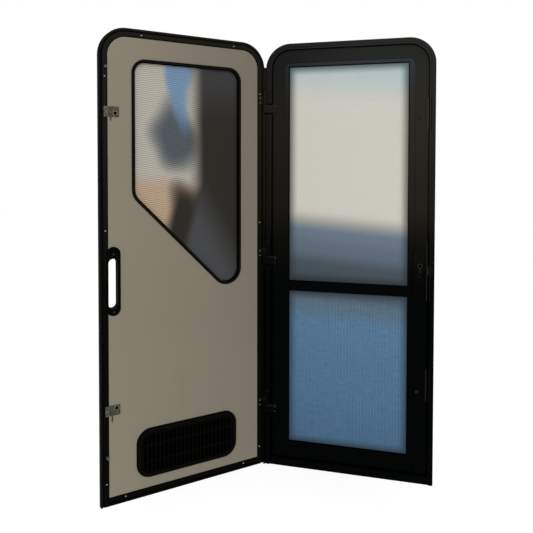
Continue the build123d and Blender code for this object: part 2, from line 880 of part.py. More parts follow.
# window: a clamping ring on each side and a pane between their sleeves
with BuildPart() as window_inner_ring:
    with BuildSketch(face(leaf_open_angle, panel_s)):
        window_shape(0)
        window_shape(ring_width, mode=Mode.SUBTRACT)
    extrude(amount=-ring_proud)
    chamfer(window_inner_ring.edges().group_by(outward(leaf_open_angle))[0], ring_bevel)
    with BuildSketch(face(leaf_open_angle, panel_s)):
        window_shape(ring_width - sleeve_wall)
        window_shape(ring_width, mode=Mode.SUBTRACT)
    extrude(amount=panel_s - glass_s)
save(window_inner_ring.part, "window_inner_ring")

with BuildPart() as window_glass:
    with BuildSketch(face(leaf_open_angle, glass_s)):
        window_shape(ring_width - sleeve_wall)
    extrude(amount=glass_thick)
save(window_glass.part, "window_glass")

with BuildPart() as window_outer_ring:
    with BuildSketch(face(leaf_open_angle, panel_back)):
        window_shape(0)
        window_shape(ring_width, mode=Mode.SUBTRACT)
    extrude(amount=ring_proud)
    chamfer(window_outer_ring.edges().group_by(outward(leaf_open_angle))[-1], ring_bevel)
    with BuildSketch(face(leaf_open_angle, glass_s - glass_thick)):
        window_shape(ring_width - sleeve_wall)
        window_shape(ring_width, mode=Mode.SUBTRACT)
    extrude(amount=glass_s - glass_thick - panel_back)
save(window_outer_ring.part, "window_outer_ring")

# faces of the leaf: name, depth, way off the face, place of its top edges sorted to the outside
leaf_faces = (("inner", panel_s, -1, 0), ("outer", panel_back, 1, -1))

# vent: a slotted grille in a round-cornered ring on each side of the leaf
for vent_name, vent_face, vent_way, vent_top in leaf_faces:
    with BuildPart() as vent:
        with BuildSketch(face(leaf_open_angle, vent_face)):
            vent_shape(0)
        extrude(amount=vent_way * vent_proud)
        chamfer(vent.edges().group_by(outward(leaf_open_angle))[vent_top], vent_bevel)
        with BuildSketch(face(leaf_open_angle, vent_face - vent_way * vent_proud)):
            vent_shape(vent_rim)
        extrude(amount=-vent_way * vent_field_depth, mode=Mode.SUBTRACT)
        with BuildSketch(face(leaf_open_angle, vent_face)):
            with Locations((vent_u, vent_field_v)):
                with GridLocations(vent_slot_pitch, vent_height, vent_slots, 1):
                    Rectangle(vent_slot_width, vent_field_height)
                with GridLocations(vent_width, vent_bar_pitch, 1, 2):
                    Rectangle(vent_width, vent_bar, mode=Mode.SUBTRACT)
            vent_shape(vent_margin, mode=Mode.INTERSECT)
        extrude(amount=vent_way * vent_proud, mode=Mode.SUBTRACT)
    save(vent.part, "vent_" + vent_name + "_grille")

# lock plates with an open slot, one on each side of the leaf, each with half of the slot's sleeve
for plate_name, plate_face, plate_way, plate_top in leaf_faces:
    with BuildPart() as plate:
        with BuildSketch(face(leaf_open_angle, plate_face)):
            lock_shape()
            lock_slot(mode=Mode.SUBTRACT)
        extrude(amount=plate_way * lock_proud)
        chamfer(plate.edges().group_by(outward(leaf_open_angle))[plate_top], lock_bevel)
        with BuildSketch(face(leaf_open_angle, plate_face)):
            lock_slot(slot_sleeve)
            lock_slot(mode=Mode.SUBTRACT)
        extrude(amount=-plate_way * (panel_s - panel_back) / 2)
    save(plate.part, "lock_" + plate_name + "_plate")

for catch_name, catch_v in catch_levels.items():
    tail = catch_tails[catch_name]
    tail_v = catch_v - (catch_height + tail - catch_tail_lap) / 2
    with BuildPart() as catch:
        with BuildSketch(face(leaf_open_angle, panel_s)):
            with Locations((catch_u, catch_v)):
                Rectangle(catch_width, catch_height)
            with Locations((catch_u + catch_tail_shift, tail_v)):
                Rectangle(catch_tail_width, tail + catch_tail_lap)
            with Locations((stud_u, stud_levels[catch_name])):
                Circle(catch_hole_radius, mode=Mode.SUBTRACT)
        extrude(amount=-catch_thick)
        with BuildSketch(face(leaf_open_angle, panel_s + catch_thick)):
            with Locations((catch_fold_u, catch_v)):
                Rectangle(catch_fold_width, catch_height)
        extrude(amount=-catch_fold)
        with BuildSketch(face(leaf_open_angle, panel_s)):
            with Locations((catch_fold_u, catch_v)):
                with GridLocations(catch_fold_width, catch_screw_spacing, 1, 2):
                    Circle(catch_screw_radius)
        extrude(amount=-catch_thick - catch_fold, mode=Mode.SUBTRACT)
    save(catch.part, catch_name + "_catch")

for bumper_name, bumper_v in bumper_levels.items():
    with BuildPart() as bumper:
        with BuildSketch(face(leaf_open_angle, leaf_s - bumper_seat)):
            with Locations((leaf_far - bumper_from_edge, bumper_v)):
                Circle(bumper_radius)
        extrude(amount=-bumper_seat - bumper_rise)
        chamfer(bumper.edges().group_by(outward(leaf_open_angle))[0], bumper_bevel)
    save(bumper.part, bumper_name + "_bumper")

for hinge_name in hinge_levels:
    with BuildPart() as leaf_hinge:
        with BuildSketch(level(leaf_open_angle, hinge_zone(hinge_name, 1))):
            Circle(knuckle_radius)
            outline([
                (0, leaf_s - hinge_plate),
                (panel_near - hinge_plate_inset, leaf_s - hinge_plate),
                (panel_near - hinge_plate_inset, leaf_s),
                (0, leaf_s),
            ])
            Circle(pin_radius + pin_play, mode=Mode.SUBTRACT)
        extrude(amount=knuckle_height)
    save(leaf_hinge.part, hinge_name + "_leaf_hinge")
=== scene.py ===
"""Dress the caravan entry door: finishes for its solids, screws and small fittings, and the stage."""

import json
import math

import bmesh
import bpy
from mathutils import Matrix, Vector


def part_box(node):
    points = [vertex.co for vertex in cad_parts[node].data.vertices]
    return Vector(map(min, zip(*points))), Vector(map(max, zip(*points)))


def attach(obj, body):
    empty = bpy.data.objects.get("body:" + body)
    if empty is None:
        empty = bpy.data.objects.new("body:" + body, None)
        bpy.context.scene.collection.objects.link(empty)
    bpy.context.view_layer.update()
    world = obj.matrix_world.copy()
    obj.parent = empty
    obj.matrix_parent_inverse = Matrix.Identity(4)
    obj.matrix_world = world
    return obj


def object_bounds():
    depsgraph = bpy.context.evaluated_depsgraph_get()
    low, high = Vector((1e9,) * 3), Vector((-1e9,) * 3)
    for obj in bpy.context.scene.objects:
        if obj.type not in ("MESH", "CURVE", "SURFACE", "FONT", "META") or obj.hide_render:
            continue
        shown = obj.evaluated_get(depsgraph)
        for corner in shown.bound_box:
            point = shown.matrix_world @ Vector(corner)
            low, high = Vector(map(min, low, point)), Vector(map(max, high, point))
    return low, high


bl_info = {
    "name": "Caravan Entry Door",
    "version": (1, 0, 0),
    "blender": (4, 5, 0),
    "location": "View3D > Sidebar > Door",
    "description": "Finishes, fasteners and stage for a caravan entry door",
    "category": "Object",
}

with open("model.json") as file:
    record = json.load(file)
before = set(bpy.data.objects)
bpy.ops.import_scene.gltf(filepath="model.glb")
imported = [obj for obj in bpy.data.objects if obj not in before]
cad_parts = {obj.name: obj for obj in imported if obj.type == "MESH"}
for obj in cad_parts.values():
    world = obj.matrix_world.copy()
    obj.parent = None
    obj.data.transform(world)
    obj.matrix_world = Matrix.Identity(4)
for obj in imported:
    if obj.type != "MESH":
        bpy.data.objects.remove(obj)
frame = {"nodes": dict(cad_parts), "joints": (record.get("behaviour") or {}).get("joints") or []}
cad_low, cad_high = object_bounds()
joints = {joint["name"]: joint for joint in frame["joints"]}
PIN = Vector(joints["main_swing"]["pos_m"])
LEAF_OPEN = math.radians(joints["main_swing"]["range_deg"][1])
SHUT = 0.0
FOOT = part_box("leaf_lock_edge")[0].z
HEAD = cad_high.z
MM = 0.001
SHARP = math.radians(35.0)
SENSOR_MM = 36.0
# Past this reach behind a front, the coat fades into painted shade.
COAT_EDGE = 3.0 * MM  # how far a front's tone reaches round its edges


def side(turn):
    """Place of a leaf that is open by turn: x along it from the pin, y inwards, z up from its foot."""
    return Matrix.Translation((PIN.x, PIN.y, FOOT)) @ Matrix.Rotation(-turn, 4, "Z")


def side_box(node, turn):
    """Lowest and highest corner of a node along a leaf, inwards and up."""
    back = side(turn).inverted()
    points = [back @ vertex.co for vertex in frame["nodes"][node].data.vertices]
    low = Vector([min(point[axis] for point in points) for axis in range(3)])
    high = Vector([max(point[axis] for point in points) for axis in range(3)])
    return low, high


def spot(turn, along, depth, height, inwards=True):
    """Place for a fitting on a leaf, with its own z pointing inwards or outwards."""
    tilt = Matrix.Rotation(math.radians(-90 if inwards else 90), 4, "X")
    return side(turn) @ Matrix.Translation((along, depth, height)) @ tilt


def standing(turn, depth, inwards):
    """Stands a flat shape up at a depth of a leaf: its y up, its z inwards or outwards."""
    way = 1 if inwards else -1
    stand = Matrix(((1, 0, 0, 0), (0, 0, way, 0), (0, 1, 0, 0), (0, 0, 0, 1)))
    return side(turn) @ Matrix.Translation((0.0, depth, 0.0)) @ stand


# places read from the solids, in each leaf's own directions
panel_low, panel_high = side_box("inner_skin", LEAF_OPEN)
edge_high = side_box("leaf_lock_edge", LEAF_OPEN)[1]
vent_low, vent_high = side_box("vent_inner_grille", LEAF_OPEN)
lock_low, lock_high = side_box("lock_inner_plate", LEAF_OPEN)
pane_low, pane_high = side_box("window_glass", LEAF_OPEN)
stile_low = side_box("screen_hinge_stile", SHUT)[0]
jamb_low = side_box("frame_hinge_jamb", SHUT)[0]
rail_low, rail_high = side_box("screen_top_rail", SHUT)

LEVELS = ("upper", "middle", "lower")
ENDS = ("upper", "lower")
# screws of the leaf's flange, from its foot along its sides and from the pins along its ends
LOCK_SIDE_SCREWS, HINGE_SIDE_SCREWS = (0.0816, 0.9833, 1.5248), (0.0718, 0.9857, 1.5007)
FOOT_SCREWS, HEAD_SCREWS = (0.0934, 0.5711), (0.1362, 0.5062)


def hinges(body):
    """The hinge plates of a body, each with the height of its upper edge."""
    names = [level + "_" + body + "_hinge" for level in LEVELS]
    return {name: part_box(name)[1].z for name in names}


FRAME_BARS = ("frame_hinge_jamb", "frame_lock_jamb", "frame_head", "frame_sill")
SCREEN_BARS = (
    "screen_hinge_stile", "screen_lock_stile", "screen_top_rail", "screen_bottom_rail",
    "screen_mid_rail", "screen_lock_case",
)
LEAF_BARS = ("leaf_hinge_edge", "leaf_lock_edge", "leaf_top_edge", "leaf_bottom_edge")


class Channel:
    """An output socket of a finish. Arithmetic on it adds Math nodes to the same tree."""

    def __init__(self, finish, socket):
        self.finish = finish
        self.socket = socket

    def math(self, operation, first, second=0.0):
        return self.finish.node("ShaderNodeMath", {"operation": operation}, {0: first, 1: second})

    def __add__(self, other):
        return self.math("ADD", self, other)

    def __radd__(self, other):
        return self.math("ADD", other, self)

    def __sub__(self, other):
        return self.math("SUBTRACT", self, other)

    def __rsub__(self, other):
        return self.math("SUBTRACT", other, self)

    def __mul__(self, other):
        return self.math("MULTIPLY", self, other)

    def __rmul__(self, other):
        return self.math("MULTIPLY", other, self)

    def sine(self):
        return self.math("SINE", self)


class Finish:
    """A node tree under construction, for a material or for the world."""

    def __init__(self, owner):
        self.owner = owner
        owner.use_nodes = True
        self.tree = owner.node_tree
        self.tree.nodes.clear()

    def node(self, kind, settings=None, inputs=None, output=0):
        """Add one node: its settings first, then the values or links of its sockets."""
        made = self.tree.nodes.new(kind)
        for name, value in (settings or {}).items():
            if name == "stops":
                self.set_stops(made.color_ramp, value)
            else:
                setattr(made, name, value)
        for name, value in (inputs or {}).items():
            socket = made.inputs[name]
            if isinstance(value, Channel):
                self.tree.links.new(value.socket, socket)
            elif socket.type == "RGBA":
                socket.default_value = (*value[:3], 1.0)
            else:
                socket.default_value = value
        return Channel(self, made.outputs[output]) if made.outputs else None

    @staticmethod
    def set_stops(ramp, stops):
        """Set a colour ramp's stops from pairs of position and colour."""
        ramp.interpolation = "EASE"
        while len(ramp.elements) < len(stops):
            ramp.elements.new(1.0)
        for element, (position, colour) in zip(ramp.elements, stops):
            element.position = position
            element.color = (*colour[:3], 1.0)

    def place(self):
        """Where the shaded point lies in the row frame."""
        return self.node("ShaderNodeTexCoord", output="Object")

    def leaf_place(self):
        """Where the shaded point lies along the main leaf, inwards and up."""
        settings = {"vector_type": "TEXTURE"}
        inputs = {
            "Vector": self.place(),
            "Location": (PIN.x, PIN.y, FOOT),
            "Rotation": (0.0, 0.0, -LEAF_OPEN),
        }
        return self.node("ShaderNodeMapping", settings, inputs)

    def streaks(self, vector, scale, detail=2.0):
        """Soft noise with a scale of its own along each axis."""
        place = self.node("ShaderNodeMapping", None, {"Vector": vector, "Scale": scale})
        return self.noise(place, 1.0, detail)

    def axes(self, vector):
        """The three parts of a vector."""
        split = self.node("ShaderNodeSeparateXYZ", None, {"Vector": vector})
        return [Channel(self, socket) for socket in split.socket.node.outputs]

    def noise(self, vector, scale, detail=2.0):
        """Soft noise from 0 to 1."""
        return self.node("ShaderNodeTexNoise", None, {"Vector": vector, "Scale": scale, "Detail": detail})

    def ease(self, value, low, high, start=0.0, end=1.0):
        """A smooth step from start to end as value goes from low to high."""
        settings = {"interpolation_type": "SMOOTHSTEP"}
        inputs = {"Value": value, "From Min": low, "From Max": high, "To Min": start, "To Max": end}
        return self.node("ShaderNodeMapRange", settings, inputs)

    def share(self, value, low, high):
        """How far a value lies between low and high, from 0 to 1."""
        return self.node("ShaderNodeMapRange", None, {"Value": value, "From Min": low, "From Max": high})

    def ramp(self, value, stops):
        """A colour for each value, eased between stops."""
        return self.node("ShaderNodeValToRGB", {"stops": stops}, {"Fac": value})

    def blend(self, first, second, factor, mode="MIX"):
        """One colour over another."""
        settings = {"data_type": "RGBA", "blend_type": mode}
        return self.node("ShaderNodeMix", settings, {0: factor, 6: first, 7: second}, 2)

    def surface(self, colour, roughness, relief, shine=0.5, **inputs):
        """End the tree in one surface shader; a relief is a height, its depth in mm and its strength."""
        height, depth, strength = relief
        bump = {"Height": height, "Distance": depth * MM, "Strength": strength}
        inputs.update({"Base Color": colour, "Roughness": roughness, "Specular IOR Level": shine})
        inputs["Normal"] = self.node("ShaderNodeBump", None, bump)
        shader = self.node("ShaderNodeBsdfPrincipled", None, inputs)
        self.node("ShaderNodeOutputMaterial", None, {"Surface": shader})
        return self.owner


def new_finish(name):
    """An empty finish for a new material."""
    return Finish(bpy.data.materials.new(name))


def scaled(colour, share):
    """A colour made darker or paler."""
    return tuple(share * part for part in colour)


def coat_stops(low, middle, upper, head):
    """Painted light: how the coat pales from the foot to the head of the door, standing in for the sky's
    reflection on its upper part.
    """
    return (0.0, low), (0.44, low), (0.52, middle), (0.64, scaled(upper, 0.7)), (0.82, upper), (1.0, head)


def from_hinges(finish, across):
    """Painted shade: a tone that grows along the frame from the hinge line, darkest beside the hinges."""
    return finish.ease(across, jamb_low.x + PIN.x, 0.1, 0.55, 1.0)


def powder_coat(name, settings, stops, front, deep, left, leaf=False, tops=(), start=None):
    """Black powder coat with fine orange peel and specks of dust; painted light makes it paler to the head,
    with painted highlights along tops.

    Painted shade fades its tone from front to deep, down to the share that is left in corners, and on frame
    and screen darkens it toward the hinges and along the frame's outer lock-side edge.
    """
    finish = new_finish(name)
    place = finish.leaf_place() if leaf else finish.place()
    across, depth, height = finish.axes(place)
    foot = 0.0 if leaf else FOOT
    cloud = finish.noise(place, 5.0, 4.0)
    speck = finish.noise(place, 420.0)
    # Painted light: the tone pales with height for the sky's reflection.
    rise = finish.share(height, foot, foot + HEAD - FOOT) + (cloud - 0.5) * 0.03
    tone = finish.ramp(rise, stops)
    # On the leaf, its lock-side lip takes one even painted tone; on frame and screen, painted shade darkens
    # the coat toward the hinge line.
    if leaf:
        lip = finish.ease(across, edge_high.x - 20.0 * MM, edge_high.x - 6.0 * MM)
        lit = finish.blend(tone, settings.lip, lip)
    else:
        lit = finish.blend(settings.coat_low, tone, from_hinges(finish, across))
    # Painted shade: the tone fades into recesses behind the front, and along the frame's outer lock-side
    # edge.
    near = finish.ease(depth, deep, front)
    if not leaf:
        near = near * finish.ease(across, cad_high.x, cad_high.x - 4.0 * MM)
    # Painted highlights on the lit top edges of hinge plates, from start across.
    for top in tops:
        edge = finish.ease(height, top - 1.6 * MM, top - 0.6 * MM) * finish.ease(height, top + 0.6 * MM, top)
        if start is not None:
            edge = edge * finish.ease(across, start, start + 3.0 * MM)
        lit = finish.blend(lit, settings.worn, edge)
    dusty = finish.blend(lit, settings.dust, finish.ease(speck * 0.6 + cloud * 0.4, 0.55, 0.8) * 0.006)
    peel = finish.noise(place, 700.0)
    # Recesses fall to the painted shade of the corner tone, keeping the share that is left.
    shade = finish.blend(settings.corner, dusty, left + (1.0 - left) * near)
    return finish.surface(shade, 0.44 + cloud * 0.16, (peel, 0.06, 0.5), 0.012)


def moulded_plastic(name, settings, faces):
    """Black moulded plastic with a spark grain; painted shade keeps sides and hollows dark and painted light
    gives a tone of its own at the depth of each face.
    """
    finish = new_finish(name)
    place = finish.leaf_place()
    depth = finish.axes(place)[1]
    grain = finish.noise(place, 1100.0, 3.0)
    cloud = finish.noise(place, 14.0, 3.0)
    # Painted shade on sides and hollows, mottled at random.
    base = finish.blend(settings.corner, settings.plastic, 0.4 + cloud * 0.4)
    # Painted light on each face at its depth.
    for level, tone in faces:
        on_lit_face = finish.ease(depth, level - 0.4 * MM, level - 0.1 * MM)
        on_lit_face = on_lit_face * finish.ease(depth, level + 0.4 * MM, level + 0.1 * MM)
        base = finish.blend(base, tone, on_lit_face * (0.8 + cloud * 0.4))
    shade = finish.blend(base, settings.dust, finish.ease(cloud * 0.6 + grain * 0.4, 0.5, 0.8) * 0.003)
    return finish.surface(shade, 0.42 + cloud * 0.14, (grain, 0.05, 0.6), 0.006)


def coated_sheet(settings):
    """Greige coated sheet, nearly smooth, with wiping marks; painted light makes it paler to the lock side
    and the foot, painted shade darker towards the hinges, and its faint mottling is partly painted sheen.
    """
    finish = new_finish("coated_sheet")
    place = finish.leaf_place()
    across, _, height = finish.axes(place)
    mottle_and_sheen = finish.noise(place, 2.6, 3.0)
    fine = finish.noise(place, 260.0)
    wipe = finish.streaks(place, (9.0, 9.0, 1.4), 3.0)
    aside = finish.share(across, panel_low.x, panel_high.x)
    drop = finish.share(height, panel_high.z, panel_low.z)
    # Painted light and shade: paler to the lock side and the foot, darker at the hinge side's head; the
    # mottle adds painted sheen.
    lit_share = aside * 0.62 + drop * (0.55 - aside * 0.28) + (mottle_and_sheen - 0.5) * 0.3
    base = finish.blend(settings.skin_dark, settings.skin, finish.share(lit_share, 0.0, 1.0))
    worn = finish.blend(base, settings.skin_dark, finish.ease(wipe, 0.6, 0.8) * 0.2)
    shade = finish.blend(worn, settings.skin_dark, fine * 0.1)
    return finish.surface(shade, 0.34 + wipe * 0.14, (fine, 0.03, 0.5), 0.3)


def border_shade(finish, across, height, box_low, box_high, width):
    """1 in the open field of a sheet, falling to 0 at its four edges."""
    left = finish.ease(across, box_low[0], box_low[0] + width)
    right = finish.ease(across, box_high[0], box_high[0] - width)
    low = finish.ease(height, box_low[1], box_low[1] + width)
    high = finish.ease(height, box_high[1], box_high[1] - width)
    return left * right * low * high


def woven(across, height, wide, tall):
    """Height of a staggered weave with cells of the given width and height."""
    return 0.5 + 0.5 * (across * (math.pi / wide)).sine() * (height * (math.pi / tall)).sine()


def oval(finish, aside, rise, middle, reach):
    """1 in the middle of a soft oval, 0 outside it."""
    wide = (aside - middle[0]) * (1.0 / reach[0])
    tall = (rise - middle[1]) * (1.0 / reach[1])
    return finish.ease(wide * wide + tall * tall, 1.0, 0.15)


def smoky_pane(settings):
    """Smoked pane with a film of fine dashes, clear towards the lock side, where soft patches of painted view
    and reflection of lit surroundings lie, over a painted dark patch.
    """
    finish = new_finish("smoky_pane")
    place = finish.leaf_place()
    across, _, height = finish.axes(place)
    drift = (finish.streaks(place, (4.0, 4.0, 3.0), 1.0) - 0.5) * 0.2
    swirl = (finish.streaks(place, (6.0, 6.0, 5.0), 0.0) - 0.5) * 0.3
    aside = finish.share(across, pane_low.x, pane_high.x)
    rise = finish.share(height, pane_low.z, pane_high.z)
    clear = finish.ease(aside + drift * 0.4 - finish.ease(rise, 0.48, 0.3) * 0.14, 0.335, 0.525)
    smoke = finish.blend(settings.pane_mid, settings.pane_dark, finish.ease(rise - aside * 0.9, -0.15, 0.25))
    smoke = finish.blend(smoke, settings.pane_mid, finish.ease(rise, 0.72, 1.0) * 0.5)
    # Painted view and reflection of lit surroundings on the clear side: a warm band below, pale above, and
    # slate and blue patches.
    tone = finish.blend(settings.pane_warm, settings.pane_pale, finish.ease(rise + drift, 0.42, 0.52))
    soft_aside, soft_rise = aside + swirl, rise + drift
    slate = oval(finish, soft_aside, soft_rise, (0.65, 0.68), (0.27, 0.19))
    blue = oval(finish, soft_aside, rise, (0.57, 0.98), (0.17, 0.32))
    shadow = oval(finish, soft_aside, soft_rise, (0.58, 0.3), (0.19, 0.22))
    tone = finish.blend(tone, settings.pane_slate, slate * 0.9)
    tone = finish.blend(tone, settings.pane_blue, blue * 0.9)
    tone = finish.blend(smoke, tone, clear)
    # A painted dark patch low on the clear side.
    tone = finish.blend(tone, settings.pane_dark, shadow)
    dashes = finish.ease(woven(across, height, settings.dot_width, settings.dot_height), 0.25, 0.75)
    shade = finish.blend(tone, settings.corner, dashes * 0.4)
    return finish.surface(shade, 0.24 + dashes * 0.1, (dashes, 0.1, 0.2), 0.08)


def screen_mesh(name, node, settings, stops, thread, clear):
    """Woven screen with slubs along its warp and weft, graded from its foot to its head in a painted view of
    lit surroundings, with painted shade along its edges.
    """
    finish = new_finish(name)
    low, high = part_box(node)
    place = finish.place()
    across, _, height = finish.axes(place)
    share = finish.share(height, low.z, high.z)
    wander = finish.streaks(place, (3.0, 1.0, 2.0), 1.0) * 0.02
    ribs = ((across + wander) * (2 * math.pi / settings.rib_pitch)).sine()
    slack = ((across + wander * 0.6) * (2 * math.pi / settings.warp_pitch)).sine()
    broken = finish.ease(finish.streaks(place, (95.0, 1.0, 22.0), 1.0), 0.3, 0.65)
    weft = finish.streaks(place, (18.0, 1.0, 230.0)) - 0.5
    fibre = finish.streaks(place, (330.0, 1.0, 60.0)) - 0.5
    weave = woven(across, height, settings.mesh_pitch, settings.mesh_pitch)
    slubs = (ribs + slack) * broken * 0.1 + weft * 0.45 + fibre * 0.45
    # Painted view of lit surroundings, graded by height and a little across.
    level = share + (across - low.x) * 0.09
    tone = finish.ramp(level, stops)
    threads = finish.blend(tone, 1.0 + slubs * thread, 1.0, "MULTIPLY")
    # Painted shade along the screen's edges.
    field = border_shade(finish, across, height, (low.x, low.z), (high.x, high.z), settings.mesh_border)
    shaded = finish.blend(settings.mesh_dark, threads, 0.22 + 0.78 * field)
    shade = finish.blend(shaded, settings.mesh_dark, weave * 0.1)
    alpha = 1.0 - finish.ease(level, 0.26, 0.36) * field * clear
    return finish.surface(shade, 0.6 + weave * 0.1, (weave, 0.15, 0.4), 0.04, Alpha=alpha)


def plated_steel(name, colour, dark, metallic=0.85, shine=0.1):
    """Zinc-plated steel with a spangled, slightly brushed face."""
    finish = new_finish(name)
    place = finish.place()
    spangle = finish.noise(place, 190.0, 3.0)
    brushed = finish.streaks(place, (40.0, 40.0, 900.0))
    shade = finish.blend(colour, dark, finish.ease(spangle, 0.4, 0.7))
    return finish.surface(shade, 0.3 + brushed * 0.25, (brushed, 0.04, 0.5), shine, Metallic=metallic)


def catch_plate(settings, fold):
    """Dull zinc plate with a paler fold along its outer end."""
    finish = new_finish("catch_plate")
    place = finish.leaf_place()
    across = finish.axes(place)[0]
    spangle = finish.noise(place, 150.0, 3.0)
    brushed = finish.streaks(place, (40.0, 40.0, 900.0))
    paler = finish.ease(across, fold - 1.0 * MM, fold + 1.0 * MM)
    plate = finish.blend(settings.catch, settings.catch_fold, paler)
    shade = finish.blend(plate, settings.strike, finish.ease(spangle, 0.45, 0.7) * 0.8)
    return finish.surface(shade, 0.36 + brushed * 0.25, (brushed, 0.05, 0.6), 0.2, Metallic=0.4)


def rubber(name, colour, dust, bloomed=0.15):
    """Matt rubber with a dusty bloom."""
    finish = new_finish(name)
    place = finish.place()
    bloom = finish.noise(place, 60.0, 4.0)
    shade = finish.blend(colour, dust, finish.ease(bloom, 0.45, 0.8) * bloomed)
    return finish.surface(shade, 0.7 + bloom * 0.15, (bloom, 0.1, 0.4), 0.02)


def weather_rubber(name, settings, stops):
    """Rubber of the frame's strips, paler towards the head by painted light and darker towards the hinges by
    painted shade.
    """
    finish = new_finish(name)
    place = finish.place()
    across, _, height = finish.axes(place)
    bloom = finish.noise(place, 40.0, 3.0)
    tone = finish.ramp(finish.share(height, FOOT, HEAD), stops)
    unshaded_share = from_hinges(finish, across)
    shade = finish.blend(settings.corner, tone, unshaded_share * (0.85 + bloom * 0.3))
    return finish.surface(shade, 0.65 + bloom * 0.2, (bloom, 0.1, 0.4), 0.012)


def foam(settings):
    """Cut foam board."""
    finish = new_finish("foam_board")
    cells = finish.noise(finish.place(), 500.0, 3.0)
    shade = finish.blend(settings.foam, settings.skin_dark, cells * 0.4)
    return finish.surface(shade, 0.85, (cells, 0.4, 0.6))


def black_gauze(settings):
    """Fine black insect gauze."""
    finish = new_finish("black_gauze")
    across, _, height = finish.axes(finish.leaf_place())
    weave = woven(across, height, settings.mesh_pitch * 0.6, settings.mesh_pitch * 0.6)
    shade = finish.blend(settings.corner, settings.seal, weave)
    return finish.surface(shade, 0.75 + weave * 0.1, (weave, 0.2, 0.6), 0.0)


def dress(names, material):
    """Give solids their finish."""
    for name in names:
        data = frame["nodes"][name].data
        data.materials.clear()
        data.materials.append(material)


def add_piece(name, mesh, material, body, place=None):
    """Make a mesh, set in its place, a piece of the door that moves with a body."""
    if place is not None:
        bmesh.ops.transform(mesh, matrix=place, verts=mesh.verts)
    bmesh.ops.recalc_face_normals(mesh, faces=mesh.faces)
    data = bpy.data.meshes.new(name)
    mesh.to_mesh(data)
    mesh.free()
    data.polygons.foreach_set("use_smooth", [True] * len(data.polygons))
    data.set_sharp_from_angle(angle=SHARP)
    data.materials.append(material)
    piece = bpy.data.objects.new(name, data)
    bpy.context.scene.collection.objects.link(piece)
    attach(piece, body)


def copies(shape, places, mesh=None):
    """A mesh, new or given, with a copy of a shape at each place; the shape is used up."""
    data = bpy.data.meshes.new("shape")
    shape.to_mesh(data)
    shape.free()
    if mesh is None:
        mesh = bmesh.new()
    for place in places:
        start = len(mesh.verts)
        mesh.from_mesh(data)
        mesh.verts.ensure_lookup_table()
        bmesh.ops.transform(mesh, matrix=place, verts=mesh.verts[start:])
    bpy.data.meshes.remove(data)
    return mesh


def bevel(mesh, geom, offset, segments, affect="EDGES"):
    """Round edges or corners."""
    bmesh.ops.bevel(
        mesh, geom=list(geom), offset=offset, segments=segments, profile=0.5, affect=affect, material=-1,
    )


def rectangle(wide, tall):
    """Flat sheet around the origin."""
    mesh = bmesh.new()
    bmesh.ops.create_grid(mesh, x_segments=1, y_segments=1, size=0.5)
    bmesh.ops.scale(mesh, vec=(wide, tall, 1.0), verts=mesh.verts)
    return mesh


def thicken(mesh, height):
    """Extrude a flat mesh upwards, and give back its upper faces."""
    made = bmesh.ops.extrude_face_region(mesh, geom=mesh.faces[:])["geom"]
    raised = [item for item in made if isinstance(item, bmesh.types.BMVert)]
    bmesh.ops.translate(mesh, vec=(0.0, 0.0, height), verts=raised)
    return [item for item in made if isinstance(item, bmesh.types.BMFace)]


def screw_head(radius, height):
    """Pan head with a cross recess, standing on z = 0."""
    mesh = bmesh.new()
    rise = Matrix.Translation((0.0, 0.0, height / 2))
    bmesh.ops.create_cone(
        mesh, cap_ends=True, segments=24, radius1=radius, radius2=radius * 0.8, depth=height, matrix=rise,
    )
    top = max(mesh.faces, key=lambda face: face.calc_center_median().z)
    bevel(mesh, top.edges, height * 0.35, 2)
    top = max(mesh.faces, key=lambda face: (round(face.calc_center_median().z, 7), face.calc_area()))
    bmesh.ops.inset_individual(mesh, faces=[top], thickness=radius * 0.12)
    waist = [loop.vert for index, loop in enumerate(top.loops) if index % 6 not in (2, 3, 4)]
    bmesh.ops.scale(mesh, vec=(0.35, 0.35, 1.0), verts=waist)
    sunk = bmesh.ops.extrude_discrete_faces(mesh, faces=[top])["faces"][0]
    bmesh.ops.translate(mesh, vec=(0.0, 0.0, -height * 0.6), verts=sunk.verts)
    return mesh


def dome(radius, height):
    """Low dome standing on z = 0."""
    mesh = bmesh.new()
    bmesh.ops.create_uvsphere(mesh, u_segments=20, v_segments=10, radius=radius)
    geom = mesh.verts[:] + mesh.edges[:] + mesh.faces[:]
    bmesh.ops.bisect_plane(
        mesh, geom=geom, plane_co=(0.0, 0.0, 0.0), plane_no=(0.0, 0.0, 1.0), clear_inner=True,
    )
    rim = [edge for edge in mesh.edges if edge.is_boundary]
    bmesh.ops.contextual_create(mesh, geom=rim)
    bmesh.ops.scale(mesh, vec=(1.0, 1.0, height / radius), verts=mesh.verts)
    return mesh


def strip_ring(low, high, width, height, radius=0.0):
    """Round-topped strip along the inside of an outline with rounded upper corners, standing on z = 0."""
    mesh = rectangle(high[0] - low[0], high[1] - low[1])
    middle = ((low[0] + high[0]) / 2, (low[1] + high[1]) / 2, 0.0)
    bmesh.ops.translate(mesh, vec=middle, verts=mesh.verts)
    if radius:
        bevel(mesh, [vert for vert in mesh.verts if vert.co.y > middle[1]], radius, 14, "VERTICES")
    field = mesh.faces[:][0]
    bmesh.ops.inset_individual(mesh, faces=[field], thickness=width)
    bmesh.ops.delete(mesh, geom=[field], context="FACES")
    lids = thicken(mesh, height)
    rims = {edge for face in lids for edge in face.edges if not all(link in lids for link in edge.link_faces)}
    bevel(mesh, rims, min(height * 0.6, width * 0.4), 3)
    return mesh


